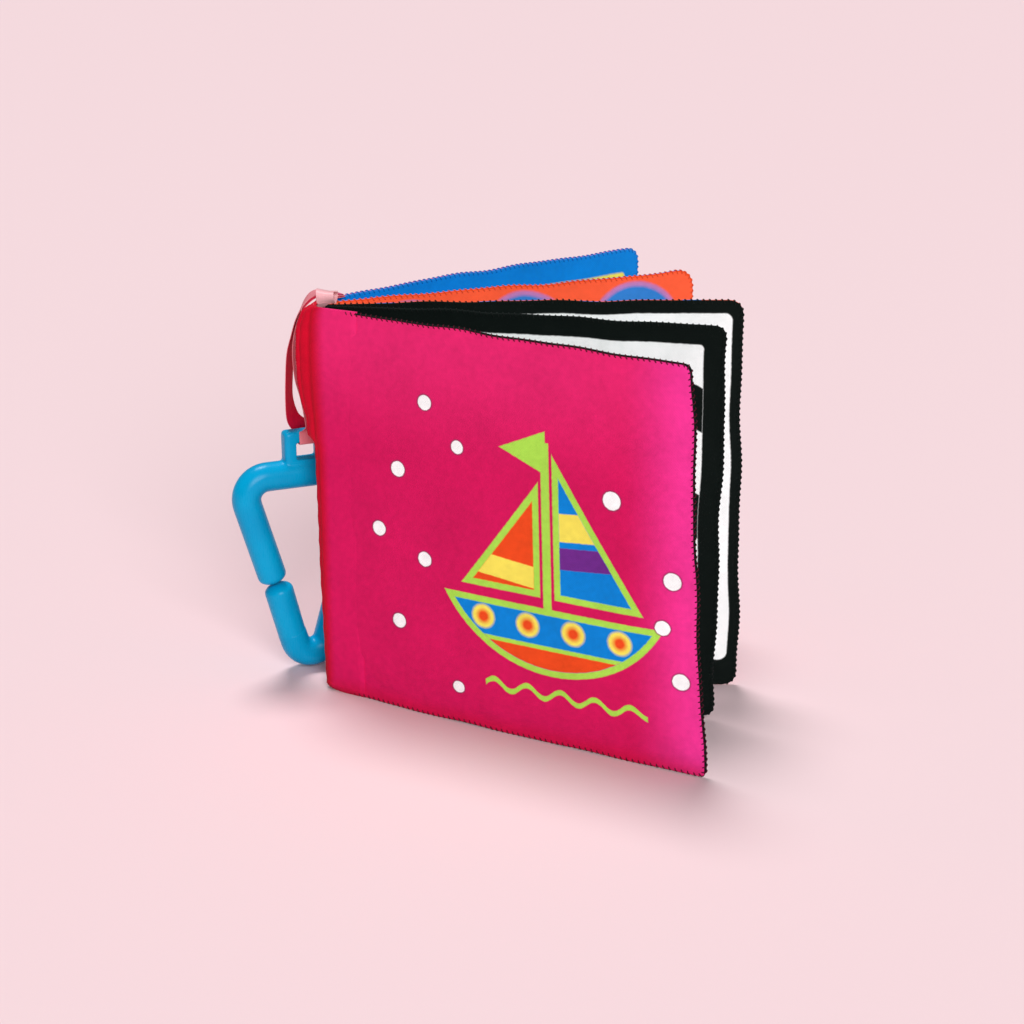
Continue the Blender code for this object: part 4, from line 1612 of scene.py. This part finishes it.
def clip_routes():
    """Centrelines of the fixed ring and of the gate arm, in the clip's frame."""
    rise = np.array([-math.sin(ring_lean), 0, math.cos(ring_lean)])
    lean = math.degrees(ring_lean)
    foot = np.array([
        -foot_radius * math.cos(ring_lean), 0, foot_bend - foot_radius * math.sin(ring_lean)
    ])
    gate_root = foot + rise * (tube_radius + 0.3 * mm)
    corner_x = foot[0] + rise[0] * (ring_top - foot[2]) / rise[2]
    centre = corner_x + ring_corner * math.tan(math.radians(90 + lean) / 2)
    level = ring_top - ring_corner
    tip = gate_root + rise * (gate_length + arm_gap)
    start, radii = rounded_tip(tip, -rise, tube_radius)
    ring = start + arc(centre, level, ring_corner, 180 + lean, 90, 12)
    ring += arc(-centre, level, ring_corner, 90, -lean, 12)
    ring += arc(0, foot_bend, foot_radius, -lean, lean - 180, 16)
    ring += [foot + rise * tube_radius * 0.9]
    radii = radii + [tube_radius] * (len(ring) - len(radii))
    return np.array(ring), np.array(radii), gate_root


def even_route(centres, radii, step):
    """The same route with its points a fixed distance apart."""
    run = np.concatenate([[0], np.cumsum(np.linalg.norm(np.diff(centres, axis=0), axis=1))])
    count = int(run[-1] / step)
    share = np.concatenate([run[:6], np.linspace(run[6], run[-1], count)])
    return (
        np.stack([np.interp(share, run, centres[:, axis]) for axis in range(3)], 1),
        np.interp(share, run, radii),
    )


def box_piece(name, size, centre):
    builder = bmesh.new()
    bmesh.ops.create_cube(builder, size=1)
    bmesh.ops.scale(builder, vec=size, verts=builder.verts)
    bmesh.ops.translate(builder, vec=centre, verts=builder.verts)
    mesh = bpy.data.meshes.new(name)
    builder.to_mesh(mesh)
    builder.free()
    made = bpy.data.objects.new(name, mesh)
    bpy.context.scene.collection.objects.link(made)
    return made


def moulded(name, base, additions, cuts, voxel, smoothing):
    """Joins and cuts solids, then remeshes and smooths the result."""
    for operation, others in (("UNION", additions), ("DIFFERENCE", cuts)):
        for other in others:
            step = base.modifiers.new(operation.lower(), "BOOLEAN")
            step.operation = operation
            step.solver = "EXACT"
            step.object = other
    remesh = base.modifiers.new("remesh", "REMESH")
    remesh.mode = "VOXEL"
    remesh.voxel_size = voxel
    soften = base.modifiers.new("soften", "SMOOTH")
    soften.factor = 0.5
    soften.iterations = smoothing
    bpy.context.view_layer.update()
    evaluated = base.evaluated_get(bpy.context.evaluated_depsgraph_get())
    mesh = bpy.data.meshes.new_from_object(evaluated)
    mesh.name = name
    for old in [base] + additions + cuts:
        bpy.data.objects.remove(old)
    mesh.materials.clear()
    mesh.shade_smooth()
    made = bpy.data.objects.new(name, mesh)
    bpy.context.scene.collection.objects.link(made)
    return made


# %% Clip plastic
# The plastic is a little translucent and carries fine scratches; a faint line
# runs round the outside where the two halves of the mould met.
def clip_plastic():
    made = bpy.data.materials.new("clip_plastic_finish")
    made.use_nodes = True
    tree = made.node_tree
    local = add_node(tree, "TexCoord").outputs["Object"]
    measured = vector_sum(tree, "MULTIPLY", local, (1000, 1000, 1000))
    depth = add_node(tree, "SeparateXYZ", {0: measured}).outputs["Y"]
    parting = add_node(
        tree, "MapRange",
        {"Value": sum_of(tree, "ABSOLUTE", depth), "From Min": 0.28, "From Max": 0.08},
    ).outputs[0]
    cloud = add_node(tree, "TexNoise", {"Vector": measured, "Scale": 0.08, "Detail": 3})
    grain = add_node(tree, "TexNoise", {"Vector": measured, "Scale": 1.3, "Detail": 6})
    long_way = vector_sum(tree, "MULTIPLY", measured, (3.0, 3.0, 0.35))
    scratch = add_node(tree, "TexNoise", {"Vector": long_way, "Scale": 1.0, "Detail": 8})
    colour = add_node(
        tree, "MixRGB",
        {"Fac": cloud.outputs["Fac"], "Color1": (0.0, 0.26, 0.52, 1),
         "Color2": (0.0, 0.39, 0.68, 1)},
    )
    shader = tree.nodes["Principled BSDF"]
    tree.links.new(colour.outputs[0], shader.inputs["Base Color"])
    tree.links.new(
        sum_of(tree, "MULTIPLY_ADD", scratch.outputs["Fac"], 0.16, 0.20),
        shader.inputs["Roughness"],
    )
    shader.inputs["Specular IOR Level"].default_value = 0.14
    height = sum_of(tree, "MULTIPLY_ADD", grain.outputs["Fac"], 0.25, parting)
    bump = add_node(tree, "Bump", {"Height": height, "Strength": 0.5, "Distance": 0.06 * mm})
    tree.links.new(bump.outputs[0], shader.inputs["Normal"])
    return made


clip_finish = clip_plastic()

# %% Clip pieces
ring_route, ring_radii, gate_root = clip_routes()
ring_route, ring_radii = even_route(ring_route, ring_radii, 1.2 * mm)
ring = sweep("ring", ring_route, ring_radii, 28, clip_finish)
block_centre = (0, 0, bar_half_height - slot_size[2] / 2)
window_centre = (0, 0, -bar_half_height - window_size[2] / 2)
block = box_piece("block", slot_size, block_centre)
rounding = block.modifiers.new("rounding", "BEVEL")
rounding.width = 1.3 * mm
rounding.segments = 3
window = box_piece("window", window_size, window_centre)
clip_body = moulded("clip_ring", ring, [block], [window], 0.42 * mm, 7)
clip_body.data.materials.append(clip_finish)
clip_body.matrix_world = clip_matrix
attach(clip_body, "clip")
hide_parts("clip_frame")
print("clip ring faces:", len(clip_body.data.polygons))

gate_rise = np.array([-math.sin(gate_lean), 0, math.cos(gate_lean)])
gate_tip, gate_radii = rounded_tip(gate_root + gate_rise * gate_length, gate_rise, tube_radius)
root_end = gate_root - gate_rise * tube_radius * 0.6
gate_route = np.concatenate([np.array(gate_tip), [root_end]])
gate_radii = np.array(gate_radii + [tube_radius * 0.97])
gate_route, gate_radii = even_route(gate_route, gate_radii, 1.0 * mm)
gate_arm = sweep("clip_gate_arm", gate_route, gate_radii, 28, clip_finish)
gate_arm.matrix_world = clip_matrix
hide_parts("clip_gate")
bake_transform(gate_arm)

# %% [markdown]
# ## The ribbon's tack
#
# Both ends of the ribbon are folded under and held by a dense bar of stitches
# on the spine's top. The fold is the small pale knob at the top left of the
# book. It is a short strap, rolled one and a half times round itself, with the
# bar tack beside it.

# %% Bar tack and fold
def ribbon_fold():
    """The ribbon's loose end, rolled over itself into a soft knob."""
    turns = np.linspace(0, 1.65, 46)
    angle = 2 * math.pi * turns + math.radians(200)
    shrink = 1 - 0.10 * turns
    puffy = 1 + 0.08 * np.sin(3 * angle)
    x = -3.5 + 1.3 * turns
    y = -5.6 + 3.1 * shrink * puffy * np.cos(angle)
    z = 0.95 + 2.8 * shrink * puffy * np.sin(angle)
    centres = np.stack([x, y, z], 1) * mm
    across = np.stack([
        np.ones(len(turns)), 0.12 * np.sin(2 * angle), 0.25 * np.sin(angle * 0.7)
    ], 1)
    return ribbon_piece(
        "ribbon_fold", Matrix.Translation(joint_place["ribbon_swing"]), centres, across,
        (ribbon_face, ribbon_face),
    )


fold = ribbon_fold()
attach(fold, "back_cover")


def bar_tack():
    """Close stitches across the ribbon, as one zigzag thread."""
    points = []
    stitches_across = 15
    for index in range(stitches_across * 4 + 1):
        share = index / (stitches_across * 4)
        side = math.cos(index * math.pi / 2)
        lift = abs(math.sin(index * math.pi / 2))
        points.append((
            (side * 0.7 + 0.8) * mm, (share - 0.5) * 5.2 * mm, (1.15 + 0.25 * lift) * mm
        ))
    centres = to_world(ribbon_pivot, np.array(points))
    return sweep("ribbon_bar_stitches", centres, 0.17 * mm, 6, binding_thread)


tack = bar_tack()
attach(tack, "back_cover")
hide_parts("ribbon_bar_tack")
